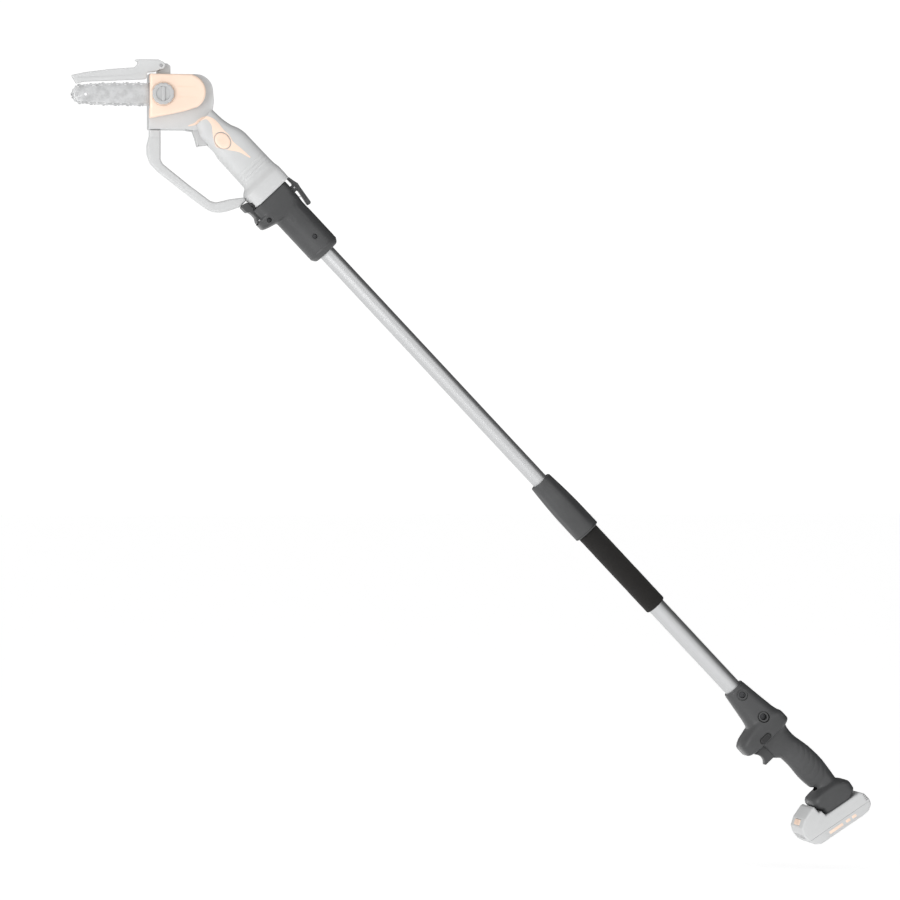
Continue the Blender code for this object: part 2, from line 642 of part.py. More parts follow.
def build_collar(lower_front):
    front, rear = COLLAR_FRONT, COLLAR_REAR
    swell = COLLAR_SWELL
    front_r = LOWER_TUBE_R + COLLAR_FRONT_THICK
    rear_r = front_r + swell
    cavity_r = front_r - 1.9
    clear_bore = UPPER_TUBE_R + RUN
    turn("lock_collar", [
        (front, clear_bore), (front, front_r - 2.2), (front + 2.5, front_r),
        (front + COLLAR_LENGTH * 0.2, front_r + swell * 0.42),
        (front + COLLAR_LENGTH * 0.42, front_r + swell * 0.76),
        (front + COLLAR_LENGTH * 0.64, front_r + swell * 0.95), (rear - 2.0, rear_r),
        (rear - 0.8, rear_r - 0.4), (rear, rear_r - 1.4), (rear, cavity_r),
        (front + COLLAR_LIP, cavity_r), (front + COLLAR_LIP, clear_bore),
    ], charcoal, pole)
    outer = cavity_r - RUN
    collet_front = front + COLLAR_LIP + GAP
    collet = turn("collet_ring", [
        (collet_front, UPPER_TUBE_R + GAP), (collet_front, outer - 1.0), (collet_front + 4.0, outer),
        (collet_front + COLLET_LENGTH, outer), (collet_front + COLLET_LENGTH, UPPER_TUBE_R + GAP),
    ], black_plastic, pole)
    cut(collet, box("cut_collet_split", (collet_front - 2.0, -1.0, 4.0),
                    (collet_front + COLLET_LENGTH - 3.0, 1.0, outer + 4.0), None, pole))
    base_bore = LOWER_TUBE_R + GAP
    base_front = lower_front + 2.0
    turn("collar_base", [
        (base_front, base_bore), (base_front, outer - 0.6), (base_front + 2.0, outer),
        (base_front + COLLAR_BASE_LENGTH, outer), (base_front + COLLAR_BASE_LENGTH, base_bore),
    ], black_plastic, pole)


# ---------------------------------------------------------------- adapter head

def sleeve_screw_x():
    return SLEEVE_REAR - 32.0


def adapter_stations():
    """From the sleeve's chamfered end to the docking face."""
    radius, wide = SLEEVE_OD / 2, DOCK_WIDTH / 2
    return [
        (SLEEVE_REAR, -radius + 5.4, radius - 5.4, radius - 5.4, 2.1, 0.0),
        (SLEEVE_REAR - 7.0, -radius, radius, radius, 2.1, 0.0),
        (SLEEVE_FRONT + 1.0, -radius, radius, radius, 2.1, 0.0),
        (SLEEVE_FRONT - 9.0, -50.6, radius, wide - 1.0, 3.2, 0.0),
        (SLEEVE_FRONT - 21.0, -51.0, radius, wide, 4.0, 0.0),
        (DOCK_X + 17.0, -43.0, radius, wide, 4.5, 0.0),
        (DOCK_X + 1.2, -42.6, radius, wide, 5.0, 0.0),
        (DOCK_X, -41.6, radius - 1.0, wide - 1.0, 5.0, 0.0),
    ]


def build_adapter():
    wall = SHELL_WALL
    wide = DOCK_WIDTH / 2 - wall
    tube_bore = rod("cut_sleeve_bore", UPPER_TUBE_FRONT - GAP, SLEEVE_REAR + 5.0, UPPER_TUBE_R + GAP,
                    None, pole, "X", segments=32)
    cavity = whole_body("cut_adapter_cavity", [
        (UPPER_TUBE_FRONT + 2.0, -21.0, 21.0, 21.0, 2.6, 0.0),
        (SLEEVE_FRONT - 8.0, -22.0, 21.5, 21.5, 2.8, 0.0),
        (DOCK_X + 5.0, -30.0, 21.5, wide, 4.0, 0.0),
    ], None, pole)
    lever_room = box("cut_lever_room", (DOCK_X - 5.0, -14.0, -60.0),
                     (DOCK_X + HOOK_PIVOT[0] + 4.5, 14.0, -39.5), None, pole)
    ear_low, ear_high = LATCH_PIVOT[0] - 5.0, LATCH_PIVOT[0] + 6.0
    inner = LATCH_WIDTH / 2 + GAP
    latch_pin = rod("cut_latch_pin", -30.0, 30.0, 1.5 + GAP, None, dock, "Y", LATCH_PIVOT, 12)
    hook_pin = rod("cut_hook_pin", -17.5, 17.5, 1.5 + GAP, None, dock, "Y", HOOK_PIVOT, 12)
    tongue_seat = box("cut_tongue_seat", (DOCK_X - 5.0, -RAIL_NECK_HALF + 3.0, RAIL_LOW + 3.0),
                      (DOCK_X + 8.0, RAIL_NECK_HALF - 3.0, RAIL_HIGH - 3.0), None, pole)
    relief = box("cut_latch_relief", (LATCH_PIVOT[0] + 9.0, -LATCH_WIDTH / 2 - 0.8, LATCH_RELIEF_Z),
                 (LATCH_PIVOT[0] + 38.0, LATCH_WIDTH / 2 + 0.8, 40.0), None, dock)
    sleeve_hollow = rod("cut_sleeve_hollow", SLEEVE_FRONT + 16.0, SLEEVE_REAR - 12.0,
                        SLEEVE_OD / 2 - wall, None, pole, "X", segments=24)
    screws = [(sleeve_screw_x(), 0.0), (SLEEVE_FRONT - 14.6, -35.2)]
    recess, hole = screw_holes("head", screws[1], -DOCK_WIDTH / 2 + 4.0, DOCK_WIDTH / 2 + 6.0, -1, pole)
    for side, word in ((-1, "left"), (1, "right")):
        shell = half_body(f"adapter_shell_{word}", adapter_stations(), side, charcoal, pole)
        cut(shell, cavity, sleeve_hollow, lever_room, tongue_seat, hook_pin, relief)
        near, far = sorted((side * inner, side * (inner + 3.0)))
        ear = box(f"latch_ear_{word}", (ear_low, near, 20.0), (ear_high, far, LATCH_PIVOT[1] + 3.6),
                  None, dock)
        fuse(shell, ear)
        cutters = [tube_bore, latch_pin, hole]
        if side < 0:
            cutters += [recess, *screw_holes("sleeve", screws[0], -SLEEVE_OD / 2 + 1.6, 13.5, -1, pole)]
        cut(shell, *cutters)
    screw("adapter_screw_1", screws[0], -SLEEVE_OD / 2 + 1.6, 13.5, -1, pole)
    screw("adapter_screw_2", screws[1], -DOCK_WIDTH / 2 + 4.0, DOCK_WIDTH / 2 + 6.0, -1, pole)
    build_dock_tongue()
    build_latches()


def build_dock_tongue():
    """The T tongue that the saw slides onto; its shank fills the seat in the docking face."""
    rings = [[(min(x, -GAP), y, z) for y, x in rail_outline(0.0)] for z in (RAIL_LOW, RAIL_HIGH)]
    tongue = loft("dock_tongue", rings, charcoal, dock)
    shank = box("dock_tongue_shank", (-3.0, -RAIL_NECK_HALF + 3.0 + GAP, RAIL_LOW + 3.0 + GAP),
                (6.0, RAIL_NECK_HALF - 3.0 - GAP, RAIL_HIGH - 3.0 - GAP), None, dock)
    fuse(tongue, shank)
    cut(tongue, *blade_slots("dock", dock))


def build_latches():
    half = LATCH_WIDTH / 2
    px, pz = LATCH_PIVOT
    profile = [
        (LATCH_TIP_X, 36.4), (px - 8.0, 38.4), (px - 1.0, 40.4), (px + 4.5, 39.2), (px + 34.5, 35.2),
        (px + 36.0, 32.4), (px + 35.0, 28.7), (px + 24.0, 30.6), (px + 9.0, 33.2), (px + 3.4, 31.0),
        (px + 2.0, 28.6), (px - 2.0, 28.6), (px - 3.4, 31.0), (px - 6.0, 33.6), (LATCH_TIP_X, 33.2),
    ]
    latch = slab("top_latch", profile, -half, half, charcoal, dock, 0.6, (px, 0.0, pz))
    cut(latch, rod("cut_latch_bore", -half - 2.0, half + 2.0, 1.5 + GAP, None, dock, "Y", LATCH_PIVOT,
                   12))
    rod("top_latch_pin", -half - 3.0, half + 3.0, 1.5, steel, dock, "Y", LATCH_PIVOT, 12)
    base = LATCH_RELIEF_Z + GAP
    leaf = [(px + 12.0, base), (px + 24.0, base), (px + 24.0, base + 0.6), (px + 15.6, base + 0.8),
            (px + 18.6, 30.4), (px + 17.4, 30.6)]
    slab("top_latch_spring", leaf, -4.0, 4.0, steel, dock, 0.0, (px + 18.0, 0.0, base))
    hx, hz = HOOK_PIVOT
    lever = [
        (-16.0, -39.6), (-1.0, -37.4), (-0.6, -40.6), (hx - 4.0, -41.0), (hx + 3.4, -42.6),
        (hx + 3.4, -48.0), (hx + 1.0, -50.6), (hx - 3.0, -48.6), (hx - 6.5, -46.4), (hx - 14.0, -46.2),
        (-2.5, -47.6), (-5.0, -51.0), (-17.0, -51.4), (-17.6, -46.0),
    ]
    hook = slab("hook_lever", lever, -13.0, 13.0, charcoal, dock, 0.6, (hx, 0.0, hz))
    cut(hook, rod("cut_hook_bore", -15.0, 15.0, 1.5 + GAP, None, dock, "Y", HOOK_PIVOT, 12))
    rod("hook_lever_pin", -17.0, 17.0, 1.5, steel, dock, "Y", HOOK_PIVOT, 12)


# ---------------------------------------------------------------- saw

def saw_handle_stations():
    """From the saw's foot to where the grip runs into the head, in the docking frame."""
    grip, wide = SAW_HANDLE_WIDTH / 2, SAW_FOOT_WIDTH / 2
    return [
        (SAW_FOOT_X, -35.0, 33.6, wide - 1.4, 5.0, 0.0),
        (-2.0, -36.4, 35.0, wide, 5.0, 0.0),
        (-22.0, -36.4, 35.2, wide, 5.0, 0.0),
        (-29.0, -33.0, 35.0, wide - 5.0, 4.0, 0.0),
        (-36.0, -25.6, 34.8, grip + 2.0, 3.0, 0.0),
        (-60.0, -25.4, 34.6, grip, 2.6, 0.0),
        (-96.0, -25.0, 34.2, grip, 2.6, 0.0),
        (-108.0, -22.5, 32.0, grip, 2.6, 0.0),
        (-122.0, -23.0, 26.0, grip, 2.8, 0.0),
        (-138.0, -24.0, 22.4, grip, 3.0, 0.0),
        (-158.0, -16.0, 21.0, grip, 3.0, 0.0),
    ]


def head_outline():
    """Side outline of the motor housing, in the head frame."""
    back = arc((54.0, 6.0), 27.0, 78, 0, 6) + [(82.4, -10.0), (80.0, -24.0), (71.0, -43.0)]
    return [(-19.5, 33.0), (53.0, 33.0)] + back + [(54.0, -56.0), (36.0, -53.4), (-19.5, -53.4)]


def housing_half(name, outline, side):
    """Half of the motor housing: square at the split, and chamfered at its outer rim."""
    split, rim, edge = (-GAP / 2, HEAD_LEFT_Y, 1.5) if side < 0 else (GAP / 2, HEAD_RIGHT_Y, HEAD_RIM)
    steps = [(split, outline), (rim - side * edge, outline), (rim, offset_outline(outline, edge))]
    return loft(name, [[(x, y, z) for x, z in shape] for y, shape in steps], None, head)


def build_saw_body():
    outline = head_outline()
    wall = SHELL_WALL
    chamber = slab("cut_motor_chamber", offset_outline(outline, wall), HEAD_LEFT_Y + wall,
                   HEAD_RIGHT_Y - wall, None, head, HEAD_RIM)
    grip_cavity = whole_body("cut_saw_grip_cavity", [
        (-RAIL_HEIGHT - 12.0, -20.0, 29.0, 15.0, 3.0, 0.0),
        (-60.0, -21.6, 31.0, SAW_HANDLE_WIDTH / 2 - wall, 2.6, 0.0),
        (-104.0, -19.0, 29.0, SAW_HANDLE_WIDTH / 2 - wall, 2.6, 0.0),
        (-140.0, -18.0, 18.0, SAW_HANDLE_WIDTH / 2 - wall, 2.8, 0.0),
        (-160.0, -10.0, 16.0, 6.0, 2.8, 0.0),
    ], None, dock)
    pocket = rail_pocket("saw", dock, -60.0)
    trigger_slot = slab("cut_saw_trigger_slot", saw_trigger_outline(RUN, 6.0),
                        -SAW_TRIGGER_WIDTH / 2 - RUN, SAW_TRIGGER_WIDTH / 2 + RUN, None, dock)
    lock = lockoff_outline()
    lock_hole = slab("cut_lockoff_hole", offset_outline(lock, -RUN), -SAW_HANDLE_WIDTH,
                     -SAW_HANDLE_WIDTH / 2 + 7.0, None, dock)
    bolt_hole = rod("cut_bolt_hole", -20.0, -0.5, 4.0 + GAP, None, head, "Y", (0.0, 0.0))
    shaft_hole = rod("cut_shaft_hole", -20.0, 2.0, 4.0 + RUN, None, head, "Y", SPROCKET_AT)
    pin_hole = rod("cut_guard_pin_hole", -40.0, 40.0, 2.0 + GAP, None, head, "Y", GUARD_PIVOT, 12)
    for side, word in ((-1, "left"), (1, "right")):
        shell = half_body(f"saw_shell_{word}", saw_handle_stations(), side, pale_grey, dock)
        fuse(shell, housing_half(f"housing_{word}", outline, side))
        cut(shell, chamber, grip_cavity, trigger_slot, *pocket)
        if side < 0:
            fuse(shell, slab("guard_lug", guard_lug_outline(), HEAD_LEFT_Y, -GAP / 2, None, head),
                 rod("bolt_boss", HEAD_LEFT_Y + 1.0, -GAP / 2, 9.0, None, head, "Y", (0.0, 0.0)))
            cut(shell, lock_hole, bolt_hole, shaft_hole, pin_hole)
    loop_guard()
    contact_block("saw_terminals", dock)


def guard_lug_outline():
    gx, gz = GUARD_PIVOT
    return [(gx - 6.0, 28.0), (gx + 16.0, 28.0), (gx + 16.0, 45.0), (gx + 11.0, 49.0)] + \
        arc((gx, gz), 5.0, 60, 190, 5)


def loop_guard():
    """The hand loop: a C-shaped strut from under the housing round to the saw's foot."""
    outer = [(-1.0, -54.0), (-19.0, -54.0), (-19.0, -64.0), (-22.6, -79.0), (-22.6, -93.0),
             (-17.5, -107.0), (-5.0, -120.0), (19.0, -137.5), (47.0, -160.0), (72.0, -178.0),
             (82.0, -182.0), (93.0, -182.6), (106.0, -180.0)]
    tip = [(123.4, -173.7), (134.1, -163.2), (129.8, -158.6)]
    inner = [(117.1, -160.2), (103.0, -162.5), (93.0, -165.2), (86.0, -166.8), (77.0, -164.7),
             (68.0, -158.0), (46.0, -142.0), (18.0, -120.0), (2.5, -107.5), (-1.0, -101.0)]
    return slab("loop_guard", outer + tip + inner, -8.0, 8.0, pale_grey, head, 2.4)


def saw_trigger_outline(grow=0.0, reach=0.0):
    """The trigger's side outline in the docking frame; its slot is larger by grow and deeper by reach."""
    base = [(-164.0, -14.0), (-156.0, -25.0), (-144.0, -30.4), (-131.6, -37.2), (-130.4, -33.0),
            (-123.6, -24.0), (-123.6, -11.0), (-164.0, -11.0)]
    if not grow:
        return base
    return [(-164.0 - grow, -60.0), (-123.6 + grow, -60.0), (-123.6 + grow, -11.0 + grow + reach),
            (-164.0 - grow, -11.0 + grow + reach)]


def lockoff_outline():
    centre = (-112.5, -2.5)
    return [(centre[0] + 14.0 * math.cos(a), centre[1] + 11.0 * math.sin(a))
            for a in (math.radians(22.5 * k) for k in range(16))]


def build_saw_controls():
    half = SAW_TRIGGER_WIDTH / 2
    slab("saw_trigger", saw_trigger_outline(), -half, half, pale_grey, dock, 0.8, (-144.0, 0.0, -20.0))
    box("saw_switch", (-128.0, -6.5, 3.0), (-108.0, 6.5, 20.0), black_plastic, dock)
    shape = lockoff_outline()
    front = -SAW_HANDLE_WIDTH / 2 - 1.2
    slab("saw_lock_off", shape, front, front + 6.5, pale_peach, dock, 0.9, (-112.5, front, -2.5))


def chain_path(radius_add):
    """The racing line round the bar's nose, along its flared edges and round the sprocket."""
    nose_r, root = BAR_NOSE_R + radius_add, BAR_ROOT_HALF + radius_add
    tail_r = SPROCKET_R + 1.4 + radius_add
    nose = arc((BAR_NOSE_X, -1.0), nose_r, 100, 260, 8)
    tail = arc(SPROCKET_AT, tail_r, -70, 70, 8)
    below = [(-80.0, -root + 0.6), (0.0, -root + 0.4)]
    return nose + below + tail + [(0.0, root - 0.4), (-80.0, root - 1.4)]


def build_cutting_gear():
    half_chain, half_bar = CHAIN_WIDTH / 2, BAR_THICK / 2
    inside = chain_path(GAP)
    outside = chain_path(GAP + CHAIN_THICK)
    rings = []
    for y, shape in ((CHAIN_Y - half_chain, outside), (CHAIN_Y + half_chain, outside),
                     (CHAIN_Y + half_chain, inside), (CHAIN_Y - half_chain, inside)):
        rings.append([(x, y, z) for x, z in shape])
    loft("saw_chain", rings, pale_metal, head, ring_of_rings=True)
    nose = arc((BAR_NOSE_X, -1.0), BAR_NOSE_R, 100, 260, 8)
    root = [(-80.0, -BAR_ROOT_HALF + 0.6), (0.0, -BAR_ROOT_HALF + 0.4), (18.0, -11.0), (20.0, -6.0),
            (20.0, 6.0), (18.0, 11.0), (0.0, BAR_ROOT_HALF - 0.4), (-80.0, BAR_ROOT_HALF - 1.4)]
    bar = slab("guide_bar", nose + root, CHAIN_Y - half_bar, CHAIN_Y + half_bar, pale_metal, head)
    slot = arc((-10.0, 0.0), 4.4, 90, 270, 5) + arc((7.0, 0.0), 4.4, -90, 90, 5)
    cut(bar, slab("cut_bar_slot", slot, CHAIN_Y - 5.0, CHAIN_Y + 5.0, None, head))
    rod("bar_bolt", COVER_Y - 3.0, -1.5, 4.0, steel, head, "Y", (0.0, 0.0))
    build_drive()
    build_cover()
    build_guard()


def gear_outline(centre, teeth, shift):
    """Straight-sided teeth on the pitch circle, thinned for backlash; shift turns it by part of a tooth."""
    pitch_r = GEAR_MODULE * teeth / 2
    root_r, tip_r = pitch_r - 1.15 * GEAR_MODULE, pitch_r + 0.8 * GEAR_MODULE
    points = []
    for k in range(teeth):
        for share, radius in ((-0.30, root_r), (-0.12, tip_r), (0.12, tip_r), (0.30, root_r)):
            angle = 2 * math.pi * (k + share + shift) / teeth
            points.append((centre[0] + radius * math.cos(angle), centre[1] + radius * math.sin(angle)))
    return points


def motor_place():
    spread = GEAR_MODULE * (GEAR_TEETH + PINION_TEETH) / 2
    return (SPROCKET_AT[0] + spread, SPROCKET_AT[1])


def build_drive():
    sx, sz = SPROCKET_AT
    mx, mz = motor_place()
    shaft = 3.0
    teeth = []
    for k in range(7):
        for share, radius in ((-0.32, SPROCKET_R - 2.6), (-0.16, SPROCKET_R), (0.16, SPROCKET_R),
                              (0.32, SPROCKET_R - 2.6)):
            angle = 2 * math.pi * (k + share) / 7
            teeth.append((sx + radius * math.cos(angle), sz + radius * math.sin(angle)))
    sprocket = slab("drive_sprocket", teeth, CHAIN_Y - 2.2, CHAIN_Y + 2.2, steel, head, 0.0,
                    (sx, CHAIN_Y, sz))
    cut(sprocket, rod("cut_sprocket_bore", -30.0, 0.0, shaft + GAP, None, head, "Y", SPROCKET_AT))
    rod("sprocket_shaft", CHAIN_Y - 4.0, 8.4, shaft, steel, head, "Y", SPROCKET_AT)
    gear = slab("drive_gear", gear_outline(SPROCKET_AT, GEAR_TEETH, 0.0), 0.6, 5.6, brass, head, 0.0,
                (sx, 0.6, sz))
    cut(gear, rod("cut_gear_bore", -2.0, 10.0, shaft + GAP, None, head, "Y", SPROCKET_AT))
    pinion = slab("motor_pinion", gear_outline((mx, mz), PINION_TEETH, 0.5), 0.6, 5.6, steel, head, 0.0,
                  (mx, 0.6, mz))
    fuse(pinion, rod("pinion_shaft", -1.5, 7.2, 2.0, None, head, "Y", (mx, mz), 12))
    motor = rod("motor", 8.0, HEAD_RIGHT_Y - SHELL_WALL - GAP, 15.6, steel, head, "Y", (mx, mz), 24)
    fuse(motor, box("motor_plate", (sx - 9.0, 7.6, sz - 9.0), (mx + 8.0, 10.2, mz + 9.0), None, head))
    cut(motor, rod("cut_motor_bearing", 5.0, 12.0, shaft + GAP, None, head, "Y", SPROCKET_AT),
        rod("cut_motor_shaft", 5.0, 12.0, 2.0 + GAP, None, head, "Y", (mx, mz)))
    box("motor_board", (22.0, 8.0, -14.0), (25.0, 24.0, 12.0), board_green, head)


def build_cover():
    """The side cover: a shallow tray over the sprocket, open where the bar comes out."""
    back = arc((40.0, 4.0), 27.5, 72, -58, 8)
    outline = [(-20.0, 31.5), (46.0, 31.5)] + back + [(36.0, -25.5), (14.0, -30.5), (-20.0, -37.5)]
    rim = HEAD_LEFT_Y - GAP
    cover = slab("side_cover", outline, COVER_Y, rim, pale_peach, head, 2.0)
    hollow = slab("cut_cover_hollow", offset_outline(outline, 2.4), COVER_Y + 2.6, rim + 4.0, None,
                  head)
    mouth = box("cut_cover_mouth", (-30.0, CHAIN_Y - 5.0, -22.0), (-16.0, rim + 4.0, 22.5), None, head)
    bore = rod("cut_cover_bore", COVER_Y - 5.0, COVER_Y + 5.0, 4.0 + GAP, None, head, "Y", (0.0, 0.0))
    cut(cover, hollow, mouth, bore)
    knob_r = KNOB_OD / 2
    back = COVER_Y - GAP
    turn("tension_knob", [
        (back, 4.0 + RUN), (back, knob_r - 2.0), (back - 1.0, knob_r), (back - 5.0, knob_r),
        (back - 7.0, knob_r - 2.0), (back - 7.6, 6.0), (back - 7.6, 0.0), (back - 4.0, 0.0),
        (back - 4.0, 4.0 + RUN),
    ], pale_grey, head, "Y", (0.0, 0.0), 24)


def build_guard():
    gx, gz = GUARD_PIVOT
    outline = [
        (-142.0, 28.0), (-134.0, 15.4), (-121.0, 18.6), (-44.0, 22.4), (-25.0, 23.6),
        (-23.5, 34.0), (gx - 9.0, 35.0),
    ] + arc((gx, gz), 6.5, -110, 75, 6) + [
        (-6.0, 54.0), (-32.0, 54.0), (-44.6, 53.2), (-36.0, 49.0), (-44.0, 41.2), (-82.0, 38.0),
        (-121.0, 32.6),
    ]
    y_low, y_high = CHAIN_Y - 7.0, HEAD_LEFT_Y + 1.6
    guard = slab("chain_guard", outline, y_low, HEAD_LEFT_Y - GAP, pale_grey, head, 0.6,
                 (gx, y_low, gz))
    channel = [(-150.0, 5.0), (-26.0, 5.0), (-28.0, 31.0), (-121.0, 27.0), (-150.0, 24.0)]
    cut(guard, slab("cut_guard_channel", channel, CHAIN_Y - 4.4, CHAIN_Y + 3.4, None, head),
        rod("cut_guard_bore", y_low - 5.0, y_high + 5.0, 2.0 + GAP, None, head, "Y", GUARD_PIVOT, 12))
    rod("chain_guard_pin", y_low - 1.0, -1.2, 2.0, steel, head, "Y", GUARD_PIVOT, 12)


# ---------------------------------------------------------------- battery

def battery_outline():
    """Side outline in the foot's frame: the deep body, and the lobe that stands in front of the foot."""
    deep, top, low = BATTERY_DEPTH, PACK_TOP, PACK_LOW
    return [
        (RUN, top + 5.2), (6.0, top + 10.2), (18.0, top + 12.6), (27.0, top + 10.6),
        (deep - 1.6, top + 1.6), (deep, top - 10.4), (deep, low + 5.4), (deep - 6.3, low - 5.6),
        (19.0, low - 10.6), (6.0, low - 12.0), LOBE_FOOT, LOBE_CORNER, (-21.6, -49.5), (-21.6, -44.6),
        (-9.6, -43.0), (-9.0, -38.0), (RUN, -35.6),
    ]


def build_battery():
    half, wall = BATTERY_WIDTH / 2, BATTERY_WALL
    outline = battery_outline()
    split = BATTERY_SPLIT
    below = box("keep_lower", (split, -60.0, -120.0), (80.0, 60.0, 80.0), None, foot)
    above = box("keep_upper", (-60.0, -60.0, -120.0), (split + GAP, 60.0, 80.0), None, foot)
    hollow = box("cut_battery_hollow", (5.0, -half + wall, PACK_LOW),
                 (BATTERY_DEPTH - wall, half - wall, PACK_TOP), None, foot)
    upper = slab("battery_case_upper", outline, -half, half, pale_grey, foot, 3.0)
    tongue = rail_prism("battery_tongue", 0.0, RAIL_LOW, RAIL_HIGH, None, foot)
    button_room = slab("cut_battery_button", button_outline(RUN, 6.0), -16.5, 16.5, None, foot)
    fuse(upper, tongue)
    cut(upper, below, hollow, button_room, *blade_slots("battery", foot))
    lower = slab("battery_case_lower", outline, -half, half, pale_grey, foot, 3.0)
    cut(lower, above, hollow)
    cell_x = (BATTERY_DEPTH + 5.2) / 2
    for k in range(CELL_COUNT):
        z = PACK_MIDDLE + (k - (CELL_COUNT - 1) / 2) * (CELL_OD + CELL_SPACE)
        rod(f"cell_{k + 1}", -CELL_LENGTH / 2, CELL_LENGTH / 2, CELL_OD / 2, cell_blue, foot, "Y",
            (cell_x, z), 16)
    box("battery_board", (5.6, -30.0, PACK_MIDDLE - 34.0), (7.4, 30.0, PACK_MIDDLE + 40.0), board_green,
        foot)
    slab("battery_button", button_outline(), -16.0, 16.0, pale_peach, foot, 0.8, (-8.0, 0.0, -70.0))


def button_outline(grow=0.0, reach=0.0):
    """The release button's side outline: it stands square to the lobe's sloping corner face."""
    along = (Vector(LOBE_FOOT) - Vector(LOBE_CORNER)).normalized()
    inward = Vector((-along.y, along.x))
    start = Vector(LOBE_CORNER) + along * 2.4
    length = 9.6
    shape = [(-grow, -1.0 - 8.0 * grow), (length + grow, -1.0 - 8.0 * grow),
             (length + grow, 6.0 + grow + reach), (-grow, 6.0 + grow + reach)]
    return [tuple(start + along * a + inward * b) for a, b in shape]


# ---------------------------------------------------------------- build

tube_screws = build_handle()
build_controls()
tube_front = build_tubes(tube_screws)
build_foam_and_cable()
build_collar(tube_front)
build_adapter()
build_saw_body()
build_saw_controls()
build_cutting_gear()
build_battery()
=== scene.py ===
import json
import math
import bmesh
import bpy
import numpy as np
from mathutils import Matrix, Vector


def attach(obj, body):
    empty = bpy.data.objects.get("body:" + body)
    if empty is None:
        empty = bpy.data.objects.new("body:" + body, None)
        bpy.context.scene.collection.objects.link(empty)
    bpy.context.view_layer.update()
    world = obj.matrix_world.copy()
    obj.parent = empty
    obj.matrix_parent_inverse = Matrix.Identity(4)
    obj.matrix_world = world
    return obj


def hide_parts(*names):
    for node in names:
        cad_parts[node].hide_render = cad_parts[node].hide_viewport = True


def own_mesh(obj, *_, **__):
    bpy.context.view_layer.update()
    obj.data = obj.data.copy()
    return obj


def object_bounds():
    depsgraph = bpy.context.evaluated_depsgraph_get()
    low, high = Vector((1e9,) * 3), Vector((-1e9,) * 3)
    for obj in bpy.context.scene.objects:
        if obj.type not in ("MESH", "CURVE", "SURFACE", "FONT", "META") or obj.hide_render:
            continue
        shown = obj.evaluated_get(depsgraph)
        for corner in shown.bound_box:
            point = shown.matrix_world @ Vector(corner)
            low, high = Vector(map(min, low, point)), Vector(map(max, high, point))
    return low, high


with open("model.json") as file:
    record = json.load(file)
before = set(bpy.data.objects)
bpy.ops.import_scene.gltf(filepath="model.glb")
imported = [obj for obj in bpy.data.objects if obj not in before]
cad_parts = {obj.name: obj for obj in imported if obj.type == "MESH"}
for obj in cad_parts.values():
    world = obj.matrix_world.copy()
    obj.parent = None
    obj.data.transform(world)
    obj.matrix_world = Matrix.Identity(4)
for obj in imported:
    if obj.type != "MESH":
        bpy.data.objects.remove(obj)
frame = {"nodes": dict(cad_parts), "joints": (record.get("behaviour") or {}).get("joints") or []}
cadLow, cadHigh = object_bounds()
print("frame loaded:", len(frame["nodes"]), "nodes")

# Places. Lengths are millimetres, and each place turns them into metres in the frame.
gap = 0.3
joints = {joint["name"]: joint for joint in frame["joints"]}
alongPole = np.array(joints["pole_slide"]["axis"])
acrossPole = np.array(joints["saw_slide"]["axis"])
downFoot = -np.array(joints["battery_slide"]["axis"])
outOfFoot = np.array([downFoot[2], 0.0, -downFoot[0]])


class Place:
    # origin and two axes; the third axis is the world's Y
    def __init__(self, origin, first, third):
        self.origin, self.first, self.third = np.array(origin), np.array(first), np.array(third)

    def put(self, points):
        # millimetres along the three axes to metres in the frame
        p = np.asarray(points, float)
        y = np.array([0.0, 1.0, 0.0])
        return 0.001 * (self.origin + p[..., 0:1] * self.first + p[..., 1:2] * y + p[..., 2:3] * self.third)

    def span(self, node):
        # lowest and highest corner of a CAD node in this place, in millimetres
        mesh = frame["nodes"][node].data
        flat = np.empty(len(mesh.vertices) * 3)
        mesh.vertices.foreach_get("co", flat)
        local = flat.reshape(-1, 3) * 1000 - self.origin
        axes = np.array([self.first, [0.0, 1.0, 0.0], self.third])
        inside = local @ axes.T
        return inside.min(0), inside.max(0)


pole = Place([0, 0, 0], alongPole, acrossPole)
footReach = Place([0, 0, 0], outOfFoot, downFoot).span("handle_shell_left")[1][0]
footFace = footReach / float(outOfFoot @ alongPole)
foot = Place(footFace * alongPole, outOfFoot, downFoot)
dockX = pole.span("adapter_shell_left")[0][0]
dock = Place(dockX * alongPole, alongPole, acrossPole)
knobAt = np.array(joints["tension_knob_turn"]["pos_m"]) * 1000
head = Place([knobAt[0], 0.0, knobAt[2]], [1.0, 0.0, 0.0], [0.0, 0.0, 1.0])


# Shapes.
def evenly(start, end, spacing):
    return np.linspace(start, end, max(2, int(np.ceil(abs(end - start) / spacing)) + 1))


def through(places, values, at):
    # A monotone cubic through (place, value) rows: each place's slope is the harmonic mean of the slopes on
    # its two sides, or 0 where they differ in sign, and between places the value follows the Hermite cubic.
    x, v = np.asarray(places, float), np.asarray(values, float)
    step = np.diff(x)[:, None]
    rise = np.diff(v, axis=0) / step
    a, b = rise[:-1], rise[1:]
    both = np.where(a * b > 0, 2 * a * b / np.where(a + b == 0, 1, a + b), 0.0)
    slope = np.concatenate([rise[:1], both, rise[-1:]])
    k = np.clip(np.searchsorted(x, at, "right") - 1, 0, len(x) - 2)
    h = step[k]
    t = (at - x[k])[:, None] / h
    return ((1 + 2 * t) * (1 - t) ** 2 * v[k] + t * (1 - t) ** 2 * h * slope[k]
            + t * t * (3 - 2 * t) * v[k + 1] + t * t * (t - 1) * h * slope[k + 1])


